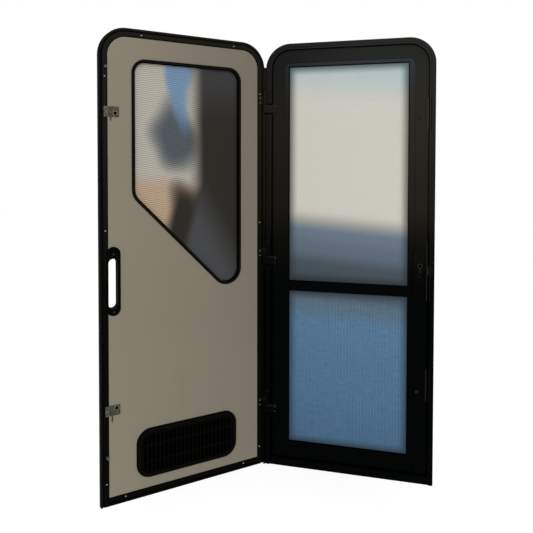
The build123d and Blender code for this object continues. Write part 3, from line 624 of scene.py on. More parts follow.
def cut_out(mesh, low, high, start, end):
    """Take away what lies between two heights, from start to end, and close the cut."""
    for level in (low, high):
        geom = mesh.verts[:] + mesh.edges[:] + mesh.faces[:]
        bmesh.ops.bisect_plane(mesh, geom=geom, plane_co=(0.0, level, 0.0), plane_no=(0.0, 1.0, 0.0))
    middles = {face: face.calc_center_median() for face in mesh.faces}
    gone = [face for face, at in middles.items() if low < at.y < high and start < at.x < end]
    bmesh.ops.delete(mesh, geom=gone, context="FACES")
    rims = [edge for edge in mesh.edges if edge.is_boundary]
    bmesh.ops.holes_fill(mesh, edges=rims, sides=0)


def eyelet(radius, wire):
    """Rolled ring around a hole, standing on z = 0."""
    mesh = bmesh.new()
    turn = Matrix.Translation((radius, 0.0, 0.0)) @ Matrix.Rotation(math.radians(90.0), 4, "X")
    profile = bmesh.ops.create_circle(mesh, segments=10, radius=wire, matrix=turn)["verts"]
    rim = {edge for vert in profile for edge in vert.link_edges}
    bmesh.ops.spin(
        mesh, geom=profile + list(rim), cent=(0.0, 0.0, 0.0), axis=(0.0, 0.0, 1.0),
        angle=2 * math.pi, steps=28, use_merge=True,
    )
    return mesh


def bulb(radius, side_wall, stem, length):
    """Rubber bulb with a stem that leans against a side wall at +x, standing along z from 0."""
    mesh = bmesh.new()
    profile = bmesh.ops.create_circle(mesh, segments=16, radius=radius, cap_ends=True)["verts"]
    end = [vert for vert in profile if vert.co.x > radius * 0.6 and vert.co.y > radius * 0.3]
    reach = side_wall - max(vert.co.x for vert in end)
    bmesh.ops.translate(mesh, vec=(reach, stem, 0.0), verts=end)
    thicken(mesh, length)
    ends = {edge for edge in mesh.edges if abs(edge.verts[0].co.z - edge.verts[1].co.z) < length / 2}
    bevel(mesh, ends, radius * 0.3, 2)
    return mesh


def round_sheet(wide, tall, radius, thick):
    """Thin sheet with rounded corners, centred on z = 0."""
    mesh = rectangle(wide, tall)
    bevel(mesh, mesh.verts, radius, 8, "VERTICES")
    bmesh.ops.solidify(mesh, geom=mesh.faces[:], thickness=thick)
    bmesh.ops.translate(mesh, vec=(0.0, 0.0, thick / 2), verts=mesh.verts)
    return mesh


def tint(label, use, *parts):
    """A colour that a user may change."""
    return bpy.props.FloatVectorProperty(name=label, description=use, subtype="COLOR", default=parts)


def size_mm(label, use, amount):
    """A length that a user may change, given in millimetres."""
    return bpy.props.FloatProperty(name=label, description=use, subtype="DISTANCE", default=amount * MM)


class DoorFinishes(bpy.types.PropertyGroup):
    """Colours and patterns of the door's finishes."""

    # Painted light: the coat tones below pale from foot to head for the sky's reflection, on frame, screen,
    # leaf and the pane's bead each at its own level.
    coat_low: tint("Coat, foot", "Powder coat near the foot of the door", 0.0009, 0.0012, 0.0014)
    coat_mid: tint("Coat, middle", "Powder coat at half the height of the door", 0.0048, 0.005, 0.0034)
    coat_high: tint("Coat, upper", "Powder coat in the upper part of the door", 0.027, 0.0242, 0.0182)
    coat_head: tint("Coat, head", "Powder coat along the head of the door", 0.0215, 0.0232, 0.0215)
    leaf_low: tint("Leaf coat, foot", "Powder coat near the foot of the main leaf", 0.0026, 0.0029, 0.0018)
    bead_head: tint("Bead, head", "Powder coat of the pane's bead along the head", 0.036, 0.043, 0.05)
    # Painted light: one even level along the leaf's lock-side lip, in place of its height grading.
    lip: tint("Lip", "Worn lip on the lock side of the main leaf", 0.0052, 0.0054, 0.004)
    # Near-black: the painted shade of grooves, recesses and corners, and the dark of the window film's dots
    # and the vent gauze's weave.
    corner: tint("Corner", "Coat in grooves and corners", 0.0003, 0.0004, 0.0004)
    # Painted light and shade on moulded plastic: sides and hollows stay dark, and faces, rims and rings are
    # lit, each at its own depth.
    plastic: tint(
        "Plastic", "Sides and hollows of the moulded vents, plates and rings", 0.0006, 0.0007, 0.0005,
    )
    plastic_face: tint(
        "Plastic, face", "Faces of the moulded plates and the vents' bars", 0.0024, 0.0026, 0.0018,
    )
    plastic_ring: tint("Plastic, ring", "Faces of the window's rings", 0.0064, 0.007, 0.0048)
    plastic_rim: tint("Plastic, rim", "Raised rims of the moulded vents", 0.0036, 0.0037, 0.0028)
    dust: tint("Dust", "Dust on dark surfaces", 0.2, 0.18, 0.15)
    # Painted light and shade on the sheet: paler to the lock side and the foot, darker towards the hinges.
    skin: tint("Sheet", "Coated sheet of the main leaf", 0.296, 0.264, 0.196)
    skin_dark: tint("Sheet, dark", "Sheet towards the hinges and in its mottling", 0.196, 0.167, 0.121)
    foam: tint("Foam", "Foam board inside the leaf", 0.6, 0.55, 0.42)
    # Beside the smoke, the window tints below form a painted view and reflection of lit surroundings: pale,
    # blue and slate patches, a warm band and a dark patch.
    pane_dark: tint("Pane, dark", "Darkest tint of the window", 0.034, 0.03, 0.024)
    pane_mid: tint("Pane, smoke", "Smoky tint of the window", 0.09, 0.092, 0.098)
    pane_slate: tint("Pane, slate", "Dark cool tint on the window's clear side", 0.06, 0.083, 0.115)
    pane_blue: tint("Pane, blue", "Light cool tint of the window's clear side", 0.19, 0.34, 0.54)
    pane_pale: tint("Pane, pale", "Palest tint of the window's clear side", 0.6, 0.57, 0.5)
    pane_warm: tint("Pane, warm", "Warm tint at the foot of the window's clear side", 0.62, 0.46, 0.32)
    dot_width: size_mm("Dot width", "Width of the window film's dots", 24.0)
    dot_height: size_mm("Dot height", "Height of the window film's dots", 4.0)
    # Mesh, dark: the weave's gaps, and the painted shade along the screens' edges, as wide as the mesh
    # border.
    mesh_dark: tint("Mesh, dark", "Gaps and edges of the screen mesh", 0.03, 0.036, 0.042)
    rib_pitch: size_mm("Rib pitch", "Spacing of the screen's heavier warp threads", 12.5)
    warp_pitch: size_mm("Warp pitch", "Spacing of the screen's lighter warp threads", 9.8)
    mesh_pitch: size_mm("Mesh pitch", "Spacing of the screen's threads", 2.2)
    mesh_border: size_mm("Mesh border", "Width of the darker border of the screens", 44.0)
    catch: tint("Catch", "Plate of the catches", 0.075, 0.07, 0.055)
    catch_fold: tint("Catch, fold", "Folded end of the catches", 0.12, 0.114, 0.097)
    zinc: tint("Zinc", "Plated catches and screws", 0.3, 0.28, 0.24)
    zinc_bright: tint("Zinc, bright", "Bright heads of the leaf's screws", 0.42, 0.4, 0.35)
    zinc_dark: tint("Zinc, dark", "Dull spangle of the plating", 0.12, 0.112, 0.098)
    strike: tint("Strike", "Blackened strike plates", 0.005, 0.005, 0.0042)
    snib: tint("Snib", "Blackened snib, studs and tongue of the screen door", 0.014, 0.0138, 0.012)
    latch: tint("Latch face", "Face plates of the screen door's latches", 0.018, 0.0168, 0.0132)
    # Painted highlights: the lit top edges of hinge plates, the lit rims of studs, snib and key, and the lit
    # upper latch face.
    worn: tint("Worn edge", "Worn upper edges of hinges, and worn rims", 0.045, 0.043, 0.037)
    bumper: tint("Bumper", "Grey rubber bumpers", 0.1, 0.1, 0.094)
    seal: tint("Seal", "Black rubber seal", 0.0006, 0.0006, 0.0006)


class DoorFasteners(bpy.types.PropertyGroup):
    """Sizes of screws and small fittings."""

    head_radius: size_mm("Head radius", "Radius of a screw's head", 2.7)
    head_height: size_mm("Head height", "Height of a screw's head", 1.5)
    flange_inset: size_mm("Flange inset", "From the sheet's edge out to the flange's screws", 7.0)
    spline_width: size_mm("Spline width", "Rubber cord that holds the screen mesh", 5.0)
    spline_height: size_mm("Spline height", "How far the cord stands on the mesh", 2.6)
    screen_gap: size_mm("Screen gap", "Gap between the screen door and the frame around it", 6.0)
    strip_width: size_mm("Weather strip", "Width of the rubber strip on the frame's inner side", 4.0)
    strip_height: size_mm("Strip height", "Height of the rubber strip, along the frame's depth", 6.0)
    strip_recess: size_mm("Strip recess", "From the frame's front back to the rubber strip", 2.5)
    strip_corner: size_mm("Strip corner", "Radius of the rubber strip's upper corners", 82.0)
    strip_room: size_mm("Strip room", "Room left in the rubber strip above and below a hinge plate", 6.0)
    bulb_radius: size_mm("Bulb radius", "Radius of the rubber bulb along the hinge line", 3.2)
    bulb_stem: size_mm("Bulb stem", "How far the bulb's stem reaches back along the frame's side", 6.0)
    side_wall: size_mm("Frame side", "From the hinge pins' middle to the side of the frame", 4.2)
    gasket_width: size_mm("Gasket width", "Rubber line around the sheet of the main leaf", 3.5)
    gasket_height: size_mm("Gasket height", "How far the rubber line stands on the sheet", 1.4)
    gasket_corner: size_mm("Gasket corner", "Radius of the sheet's upper corners", 72.0)
    plate_round: size_mm(
        "Plate end", "How far the lock plate's round ends leave the rubber line free", 10.0,
    )
    lock_margin_low: size_mm("Lock screw, low", "From the lock plate's lower end to its screw", 14.0)
    lock_margin_high: size_mm("Lock screw, high", "From the lock plate's upper end to its screw", 26.0)
    stile_bevel: size_mm("Stile bevel", "Bevel along the edge of the screen door", 3.0)
    face_width: size_mm("Face width", "Width of the latch face plates", 4.0)
    face_thick: size_mm("Face plate", "Thickness of the latch face plates", 0.6)
    tongue_height: size_mm("Tongue height", "Height of the screen lock's tongue", 34.0)
    tongue_reach: size_mm("Tongue reach", "How far the tongue stands out of the screen door's edge", 5.0)
    tongue_thick: size_mm("Tongue", "Thickness of the tongue", 5.0)
    tongue_rise: size_mm("Tongue rise", "From the middle of the middle strike up to the tongue", 1.0)
    hole_radius: size_mm("Catch hole", "Radius of the hole in a catch", 7.5)
    hole_wire: size_mm("Catch eyelet", "Radius of the rolled rim of a catch's hole", 0.9)
    # The rims of studs, snib and key carry painted highlights, and the snib's hollow holds a dark disc of
    # painted shade.
    stud_rim: size_mm("Stud rim", "Radius of the worn rim on a stud's end", 5.0)
    snib_rim: size_mm("Snib rim", "Radius of the worn rim on the snib's boss", 8.6)
    snib_cup_shade: size_mm("Snib cup", "Radius of the hollow in the snib's boss", 6.2)
    cup_depth: size_mm("Cup depth", "Depth of the hollow in the snib's boss", 1.5)
    key_rim: size_mm("Key rim", "Radius of the worn rim on the key's boss", 6.6)
    key_drop: size_mm("Key drop", "From the snib's middle down to the key's boss", 36.0)
    rim_wire: size_mm("Worn rim", "Thickness of the worn rims", 0.7)
    pin_radius: size_mm("Pin radius", "Radius of a hinge pin's end", 3.5)
    pin_height: size_mm("Pin height", "Height of a hinge pin's end", 1.6)
    hinge_plate: size_mm("Hinge plate", "Thickness of the hinge and catch plates", 2.5)
    hinge_spacing: size_mm("Hinge screw spacing", "Between the two screws of a hinge plate", 17.5)
    hinge_margin: size_mm("Hinge margin", "From the end of a hinge plate to its screws", 6.0)
    hinge_head: size_mm("Hinge screw", "Radius of a hinge screw's head", 1.9)
    catch_height: size_mm("Catch height", "Height of a catch's plate above its tail", 36.0)
    catch_fold: size_mm("Catch fold", "Width of a catch's folded end", 13.0)
    catch_spacing: size_mm("Catch screw spacing", "Between the two screws of a catch", 17.0)
    catch_margin: size_mm("Catch margin", "From the outer end of a catch to its screws", 6.5)
    mesh_tuck: size_mm("Mesh tuck", "How far the mesh goes under its bead", 4.0)
    gauze_inset: size_mm("Gauze inset", "From the vent's outline to the gauze", 9.2)
    gauze_corner: size_mm("Gauze corner", "Radius of the gauze's corners", 44.8)
    gauze_depth: size_mm("Gauze depth", "From the sheet's face back to the gauze", 3.8)
    gauze_thick: size_mm("Gauze thickness", "Thickness of the gauze", 0.8)
    vent_field: size_mm("Vent field", "From the vent's rim down to its slotted field", 2.5)
    vent_bar: size_mm("Vent bar", "From the slotted field's middle to the middle of each bar", 29.5)
    vent_drop: size_mm("Vent drop", "From the vent's middle down to the slotted field's middle", 3.0)
    vent_screw: size_mm("Vent screw", "From the vent's middle to its screws", 128.0)


class DoorStage(bpy.types.PropertyGroup):
    """Floor, light and camera."""

    floor_drop: size_mm("Floor drop", "From the foot of the door down to the floor", 320.0)
    floor_size: size_mm("Floor size", "Width of the floor", 28000.0)
    ambient: bpy.props.FloatProperty(
        name="Ambient", description="Strength of the sky on dull surfaces", default=0.62,
    )
    key_power: bpy.props.FloatProperty(
        name="Key", description="Power of the key light", subtype="POWER", default=42.0,
    )
    fill_power: bpy.props.FloatProperty(
        name="Fill", description="Power of the fill light", subtype="POWER", default=10.0,
    )
    eye: bpy.props.FloatVectorProperty(
        name="Camera", description="Where the camera stands", subtype="TRANSLATION",
        default=(0.2954, -2.3198, 1.1937),
    )
    gaze: bpy.props.FloatVectorProperty(
        name="Gaze", description="How the camera is turned", subtype="EULER",
        default=tuple(math.radians(angle) for angle in (88.427, -0.103, 14.926)),
    )
    lens: bpy.props.FloatProperty(
        name="Lens", description="Focal length on a 36 mm sensor", default=39.62,
    )
    shift: bpy.props.FloatVectorProperty(
        name="Shift", description="Lens shift across and up, as a share of the sensor", size=2,
        default=(-0.0057, -0.1543),
    )


def user_settings(context):
    """The finishes and the fasteners that the user has set."""
    return context.scene.door_finishes, context.scene.door_fasteners


def tongue_level(settings):
    """Height of the screen lock's tongue, opposite the middle strike."""
    low, high = side_box("middle_strike", SHUT)
    return (low.z + high.z) / 2 + settings.tongue_rise


class DOOR_OT_coat_extrusions(bpy.types.Operator):
    """Powder-coat the extrusions, rails and hinges"""

    bl_idname = "door.coat_extrusions"
    bl_label = "Coat Extrusions"

    def execute(self, context):
        finishes, settings = user_settings(context)
        low, middle, high = finishes.coat_low, finishes.coat_mid, finishes.coat_high
        head, bead = finishes.coat_head, finishes.bead_head
        # Columns: body, bars, painted light of the upper door, painted light of the head, front face, how
        # deep the painted shade fades in, and the share of tone left in the deepest shade.
        bodies = (
            ("frame", FRAME_BARS, scaled(high, 0.78), head, jamb_low.y, 12.0 * MM, 0.6),
            ("screen", SCREEN_BARS, high, head, stile_low.y, 6.0 * MM, 0.5),
            ("bead", ("pane_bead",), high, bead, stile_low.y, 9.0 * MM, 0.4),
        )
        for name, bars, upper, top, face, fade, left in bodies:
            front = face + PIN.y + COAT_EDGE
            coat = finishes, coat_stops(low, middle, upper, top), front, front + fade, left
            dress(bars, powder_coat(name + "_coat", *coat))
            if name != "bead":
                # Painted highlights along each hinge plate's top edge, on frame and screen from start across.
                plates = hinges(name)
                tops = tuple(plates.values())
                start = PIN.x + 2 * settings.side_wall
                dress(plates, powder_coat(name + "_hinge_coat", *coat, tops=tops, start=start))
        # The leaf's painted light stays dimmer.
        dim = scaled(high, 0.5)
        stops = coat_stops(finishes.leaf_low, middle, dim, dim)
        front = edge_high.y - 0.8 * MM
        dress(LEAF_BARS, powder_coat("leaf_coat", finishes, stops, front, front - 2.2 * MM, 0.3, True))
        plates = hinges("leaf")
        tops = tuple(top - FOOT for top in plates.values())
        coat = finishes, stops, front, front - 9.0 * MM, 0.5, True, tops
        dress(plates, powder_coat("leaf_hinge_coat", *coat))
        return {"FINISHED"}


class DOOR_OT_mould_trims(bpy.types.Operator):
    """Finish the moulded vents, lock plates and window rings"""

    bl_idname = "door.mould_trims"
    bl_label = "Mould Trims"

    def execute(self, context):
        finishes, settings = user_settings(context)
        field = settings.vent_field
        rim, face, ring = finishes.plastic_rim, finishes.plastic_face, finishes.plastic_ring
        trims = {"vent": "vent_{}_grille", "plate": "lock_{}_plate", "ring": "window_{}_ring"}
        nodes = {trim: [name.format(way) for way in ("inner", "outer")] for trim, name in trims.items()}
        vent_back, plate_back = (side_box(nodes[trim][1], LEAF_OPEN)[0].y for trim in ("vent", "plate"))
        rings = [corner.y for name in nodes["ring"] for corner in side_box(name, LEAF_OPEN)]
        # Painted light at each face's depth: lit rims and faces on the vents, and lit faces on the lock
        # plates and the window's rings.
        faces = {
            "vent": (
                (vent_high.y, rim), (vent_high.y - field, face), (vent_back, rim), (vent_back + field, face),
            ),
            "plate": ((lock_high.y, face), (plate_back, face)),
            "ring": [(level, ring) for level in rings],
        }
        for trim in trims:
            dress(nodes[trim], moulded_plastic(trim + "_plastic", finishes, faces[trim]))
        return {"FINISHED"}


class DOOR_OT_skin_leaf(bpy.types.Operator):
    """Finish the leaf's two sheets and its foam"""

    bl_idname = "door.skin_leaf"
    bl_label = "Skin Leaf"

    def execute(self, context):
        finishes = context.scene.door_finishes
        dress(("inner_skin", "outer_skin"), coated_sheet(finishes))
        dress(("leaf_core",), foam(finishes))
        return {"FINISHED"}


class DOOR_OT_glaze_window(bpy.types.Operator):
    """Tint the main leaf's window"""

    bl_idname = "door.glaze_window"
    bl_label = "Glaze Window"

    def execute(self, context):
        dress(("window_glass",), smoky_pane(context.scene.door_finishes))
        return {"FINISHED"}


class DOOR_OT_weave_screens(bpy.types.Operator):
    """Weave the two screens"""

    bl_idname = "door.weave_screens"
    bl_label = "Weave Screens"

    def execute(self, context):
        finishes = context.scene.door_finishes
        # Painted view of lit surroundings through the screens: dark blue low, pale in the middle and pale
        # blue at the head of the upper one; steel blue over the lower one, darker at its head.
        upper_stops = (
            (0.0, (0.055, 0.068, 0.08)),
            (0.09, (0.08, 0.102, 0.122)),
            (0.17, (0.134, 0.182, 0.235)),
            (0.245, (0.168, 0.222, 0.285)),
            (0.34, (0.68, 0.645, 0.55)),
            (0.82, (0.67, 0.635, 0.54)),
            (1.0, (0.43, 0.56, 0.57)),
        )
        lower_stops = (
            (0.0, (0.084, 0.174, 0.296)),
            (0.5, (0.1, 0.208, 0.344)),
            (0.8, (0.112, 0.226, 0.364)),
            (0.92, (0.118, 0.19, 0.262)),
            (1.0, (0.093, 0.13, 0.168)),
        )
        screens = ("upper", upper_stops, 0.2, 0.45), ("lower", lower_stops, 1.0, 0.0)
        for name, stops, thread, clear in screens:
            node = name + "_mesh"
            dress((node,), screen_mesh(name + "_screen", node, finishes, stops, thread, clear))
        return {"FINISHED"}


class DOOR_OT_plate_fittings(bpy.types.Operator):
    """Plate the catches and blacken the strikes, the studs and the snib"""

    bl_idname = "door.plate_fittings"
    bl_label = "Plate Fittings"

    def execute(self, context):
        finishes, settings = user_settings(context)
        fold = side_box("upper_catch", LEAF_OPEN)[1].x - settings.catch_fold
        dress(("upper_catch", "lower_catch"), catch_plate(finishes, fold))
        strikes = tuple(level + "_strike" for level in LEVELS)
        dress(strikes, plated_steel("black_zinc", finishes.strike, finishes.coat_mid, 0.3, 0.02))
        black = plated_steel("snib_zinc", finishes.snib, finishes.strike, 0.2, 0.03)
        dress(("upper_stud", "lower_stud", "snib"), black)
        return {"FINISHED"}


class DOOR_OT_fit_rubbers(bpy.types.Operator):
    """Finish the seal and the bumpers"""

    bl_idname = "door.fit_rubbers"
    bl_label = "Fit Rubbers"

    def execute(self, context):
        finishes = context.scene.door_finishes
        dress(("door_seal",), rubber("seal_rubber", finishes.seal, finishes.dust, 0.01))
        dress(("upper_bumper", "lower_bumper"), rubber("bumper_rubber", finishes.bumper, finishes.dust))
        return {"FINISHED"}


class DOOR_OT_press_cords(bpy.types.Operator):
    """Press rubber cords in along the edges of the screens"""

    bl_idname = "door.press_cords"
    bl_label = "Press Cords"

    def execute(self, context):
        finishes, settings = user_settings(context)
        black = rubber("cord_rubber", finishes.seal, finishes.dust, 0.01)
        tuck = Vector((settings.mesh_tuck, 0.0, settings.mesh_tuck))
        for name in ENDS:
            low, high = side_box(name + "_mesh", SHUT)
            low, high = low + tuck, high - tuck
            mesh = strip_ring((low.x, low.z), (high.x, high.z), settings.spline_width, settings.spline_height)
            add_piece(name + "_cord", mesh, black, "screen", standing(SHUT, low.y, False))
        return {"FINISHED"}


class DOOR_OT_seal_frame(bpy.types.Operator):
    """Run a rubber weather strip up the jambs and over the head, with room for the screen's hinges"""

    bl_idname = "door.seal_frame"
    bl_label = "Seal Frame"

    def execute(self, context):
        finishes, settings = user_settings(context)
        gap = settings.screen_gap
        foot = stile_low.z - gap
        low = (rail_low.x - gap, foot - 4 * settings.strip_width)
        high = (rail_high.x + gap, rail_high.z + gap)
        mesh = strip_ring(low, high, settings.strip_width, settings.strip_height, settings.strip_corner)
        cut_out(mesh, 2 * low[1] - foot, foot, low[0] - gap, high[0] + gap)
        for name in LEVELS:
            plate_low, plate_high = side_box(name + "_screen_hinge", SHUT)
            below, above = plate_low.z - settings.strip_room, plate_high.z + settings.strip_room
            cut_out(mesh, below, above, low[0] - gap, low[0] + gap)
        middle = tongue_level(settings)
        reach = settings.tongue_height / 2 + settings.strip_width
        cut_out(mesh, middle - reach, middle + reach, high[0] - gap, high[0] + gap)
        depth = jamb_low.y + settings.strip_recess + settings.strip_height
        # Painted light: the strip pales toward the head, brighter than the coat.
        painted_strip_light = scaled(finishes.coat_high, 1.7)
        stops = coat_stops(finishes.coat_low, finishes.coat_mid, painted_strip_light, painted_strip_light)
        strip = weather_rubber("strip_rubber", finishes, stops)
        add_piece("weather_strip", mesh, strip, "frame", standing(SHUT, depth, False))
        return {"FINISHED"}


class DOOR_OT_seal_hinges(bpy.types.Operator):
    """Close the hinge line between the hinges with lengths of rubber bulb"""

    bl_idname = "door.seal_hinges"
    bl_label = "Seal Hinges"

    def execute(self, context):
        finishes, settings = user_settings(context)
        low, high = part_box("frame_hinge_jamb")
        heights = [low.z]
        for name in reversed(LEVELS):
            boxes = [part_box(name + "_" + body + "_hinge") for body in ("frame", "screen", "leaf")]
            heights.append(min(box[0].z for box in boxes) - settings.strip_room)
            heights.append(max(box[1].z for box in boxes) + settings.strip_room)
        heights.append(high.z)
        mesh = bmesh.new()
        for start, end in zip(heights[0::2], heights[1::2]):
            shape = bulb(settings.bulb_radius, settings.side_wall, settings.bulb_stem, end - start)
            copies(shape, [Matrix.Translation((PIN.x, PIN.y, start))], mesh)
        # Painted light: the bulb pales toward the head like the coat.
        stops = coat_stops(finishes.coat_low, finishes.coat_mid, finishes.coat_high, finishes.coat_high)
        black = weather_rubber("bulb_rubber", finishes, stops)
        add_piece("hinge_bulb", mesh, black, "frame")
        return {"FINISHED"}


class DOOR_OT_line_sheet(bpy.types.Operator):
    """Lay a rubber line around the leaf's inner sheet, up to the catches and the lock plate"""

    bl_idname = "door.line_sheet"
    bl_label = "Line Sheet"

    def execute(self, context):
        finishes, settings = user_settings(context)
        low = (panel_low.x, panel_low.z)
        high = (panel_high.x, panel_high.z)
        mesh = strip_ring(low, high, settings.gasket_width, settings.gasket_height, settings.gasket_corner)
        spans = [(lock_low.z + settings.plate_round, lock_high.z - settings.plate_round)]
        for name in ENDS:
            top = side_box(name + "_catch", LEAF_OPEN)[1].z
            spans.append((top - settings.catch_height, top))
        for below, above in spans:
            cut_out(mesh, below, above, (low[0] + high[0]) / 2, high[0] + settings.gasket_width)
        black = rubber("gasket_rubber", finishes.seal, finishes.dust, 0.01)
        place = standing(LEAF_OPEN, panel_high.y, True)
        add_piece("sheet_gasket", mesh, black, "main", place)
        return {"FINISHED"}


class DOOR_OT_face_latches(bpy.types.Operator):
    """Set a steel face plate on the screen door's stile opposite each strike, and the lock's tongue"""

    bl_idname = "door.face_latches"
    bl_label = "Face Latches"

    def execute(self, context):
        finishes, settings = user_settings(context)
        dull = plated_steel("latch_steel", finishes.latch, finishes.snib, 0.1, 0.03)
        # Painted highlight on the upper latch face, paler than the others.
        pale = plated_steel("upper_latch_highlight_steel", finishes.worn, finishes.latch, 0.1, 0.03)
        black = plated_steel("tongue_steel", finishes.latch, finishes.strike, 0.1, 0.03)
        half = settings.face_width / 2
        for name in LEVELS:
            low, high = side_box(name + "_strike", SHUT)
            mesh = round_sheet(settings.face_width, high.z - low.z, half * 0.8, settings.face_thick)
            along = rail_high.x - settings.stile_bevel - half + settings.face_thick
            place = spot(SHUT, along, stile_low.y - settings.face_thick / 2, (low.z + high.z) / 2, False)
            steel = pale if name == "upper" else dull
            add_piece(name + "_latch_face", mesh, steel, "screen", place)
        wide, thick = 2 * settings.tongue_reach, settings.tongue_thick
        mesh = round_sheet(wide, settings.tongue_height, settings.tongue_reach * 0.3, thick)
        depth = stile_low.y + settings.stile_bevel - thick / 2
        place = spot(SHUT, rail_high.x, depth, tongue_level(settings))
        add_piece("latch_tongue", mesh, black, "screen", place)
        return {"FINISHED"}


class DOOR_OT_fit_gauze(bpy.types.Operator):
    """Fit the insect gauze between the two vent grilles"""

    bl_idname = "door.fit_gauze"
    bl_label = "Fit Gauze"

    def execute(self, context):
        finishes, settings = user_settings(context)
        middle = (vent_low + vent_high) / 2
        size = vent_high - vent_low
        inset = 2 * settings.gauze_inset
        mesh = round_sheet(size.x - inset, size.z - inset, settings.gauze_corner, settings.gauze_thick)
        place = spot(LEAF_OPEN, middle.x, panel_high.y - settings.gauze_depth, middle.z)
        add_piece("vent_gauze", mesh, black_gauze(finishes), "main", place)
        return {"FINISHED"}


class DOOR_OT_drive_screws(bpy.types.Operator):
    """Drive the screws of the leaf's flange, lock plates, vents, catches and hinges"""

    bl_idname = "door.drive_screws"
    bl_label = "Drive Screws"

    def execute(self, context):
        finishes, settings = user_settings(context)
        bright = plated_steel("bright_screw", finishes.zinc_bright, finishes.zinc)
        dull = plated_steel("dull_screw", finishes.zinc_dark, finishes.strike)
        black = plated_steel("black_screw", finishes.strike, finishes.coat_mid, 0.4)
        wide, small = settings.head_radius, settings.hinge_head
        on_screen, on_frame = (low.y - settings.hinge_plate for low in (stile_low, jamb_low))
        pieces = (
            ("leaf_screws", self.flange_places(settings), bright, "main", wide),
            ("leaf_hinge_screws", self.hinge_places(settings, "leaf", edge_high.y), bright, "main", small),
            ("screen_hinge_screws", self.hinge_places(settings, "screen", on_screen), dull, "screen", small),
            ("frame_hinge_screws", self.hinge_places(settings, "frame", on_frame), black, "frame", small),
            ("lock_plate_screws", self.lock_places(settings), dull, "main", wide),
            ("vent_screws", self.vent_places(settings), black, "main", small),
            ("catch_screws", self.catch_places(settings), black, "main", small),
        )
        for name, places, material, body, radius in pieces:
            head = screw_head(radius, settings.head_height)
            add_piece(name, copies(head, places), material, body)
        return {"FINISHED"}

    @staticmethod
    def pair(turn, along, depth, middle, spacing, inwards=True):
        """Two screws, one above the other."""
        return [spot(turn, along, depth, middle + step * spacing, inwards) for step in (-0.5, 0.5)]

    @staticmethod
    def flange_places(settings):
        """Along the four sides of the leaf's inner flange."""
        reach = settings.flange_inset
        spots = [(panel_high.x + reach, height) for height in LOCK_SIDE_SCREWS]
        spots += [(panel_low.x - reach, height) for height in HINGE_SIDE_SCREWS]
        spots += [(along, panel_low.z - reach) for along in FOOT_SCREWS]
        spots += [(along, panel_high.z + reach) for along in HEAD_SCREWS]
        return [spot(LEAF_OPEN, along, edge_high.y, height) for along, height in spots]

    def hinge_places(self, settings, body, depth):
        """Two on each hinge plate of a body; the frame's plates lie beside the top knuckle."""
        on_leaf = body == "leaf"
        turn = LEAF_OPEN if on_leaf else SHUT
        places = []
        for name in hinges(body):
            low, high = side_box(name, turn)
            middle = high.z - (high.z - low.z) / (6 if body == "frame" else 2)
            along = high.x - settings.hinge_margin
            places += self.pair(turn, along, depth, middle, settings.hinge_spacing, on_leaf)
        return places

    @staticmethod
    def lock_places(settings):
        """One near each end of both lock plates."""
        back = side_box("lock_outer_plate", LEAF_OPEN)[0].y
        middle = (lock_low.x + lock_high.x) / 2
        places = []
        for height in (lock_low.z + settings.lock_margin_low, lock_high.z - settings.lock_margin_high):
            places.append(spot(LEAF_OPEN, middle, lock_high.y, height))
            places.append(spot(LEAF_OPEN, middle, back, height, False))
        return places

    def vent_places(self, settings):
        """Two on each bar of both vents."""
        back = side_box("vent_outer_grille", LEAF_OPEN)[0].y
        middle = (vent_low + vent_high) / 2
        level, spacing = middle.z - settings.vent_drop, 2 * settings.vent_bar
        places = []
        for across in (-settings.vent_screw, settings.vent_screw):
            along = middle.x + across
            places += self.pair(LEAF_OPEN, along, vent_high.y - settings.vent_field, level, spacing)
            places += self.pair(LEAF_OPEN, along, back + settings.vent_field, level, spacing, False)
        return places

    def catch_places(self, settings):
        """Two in the raised end of each catch."""
        places = []
        for name in ENDS:
            high = side_box(name + "_catch", LEAF_OPEN)[1]
            along, middle = high.x - settings.catch_margin, high.z - settings.catch_height / 2
            places += self.pair(LEAF_OPEN, along, high.y, middle, settings.catch_spacing)
        return places


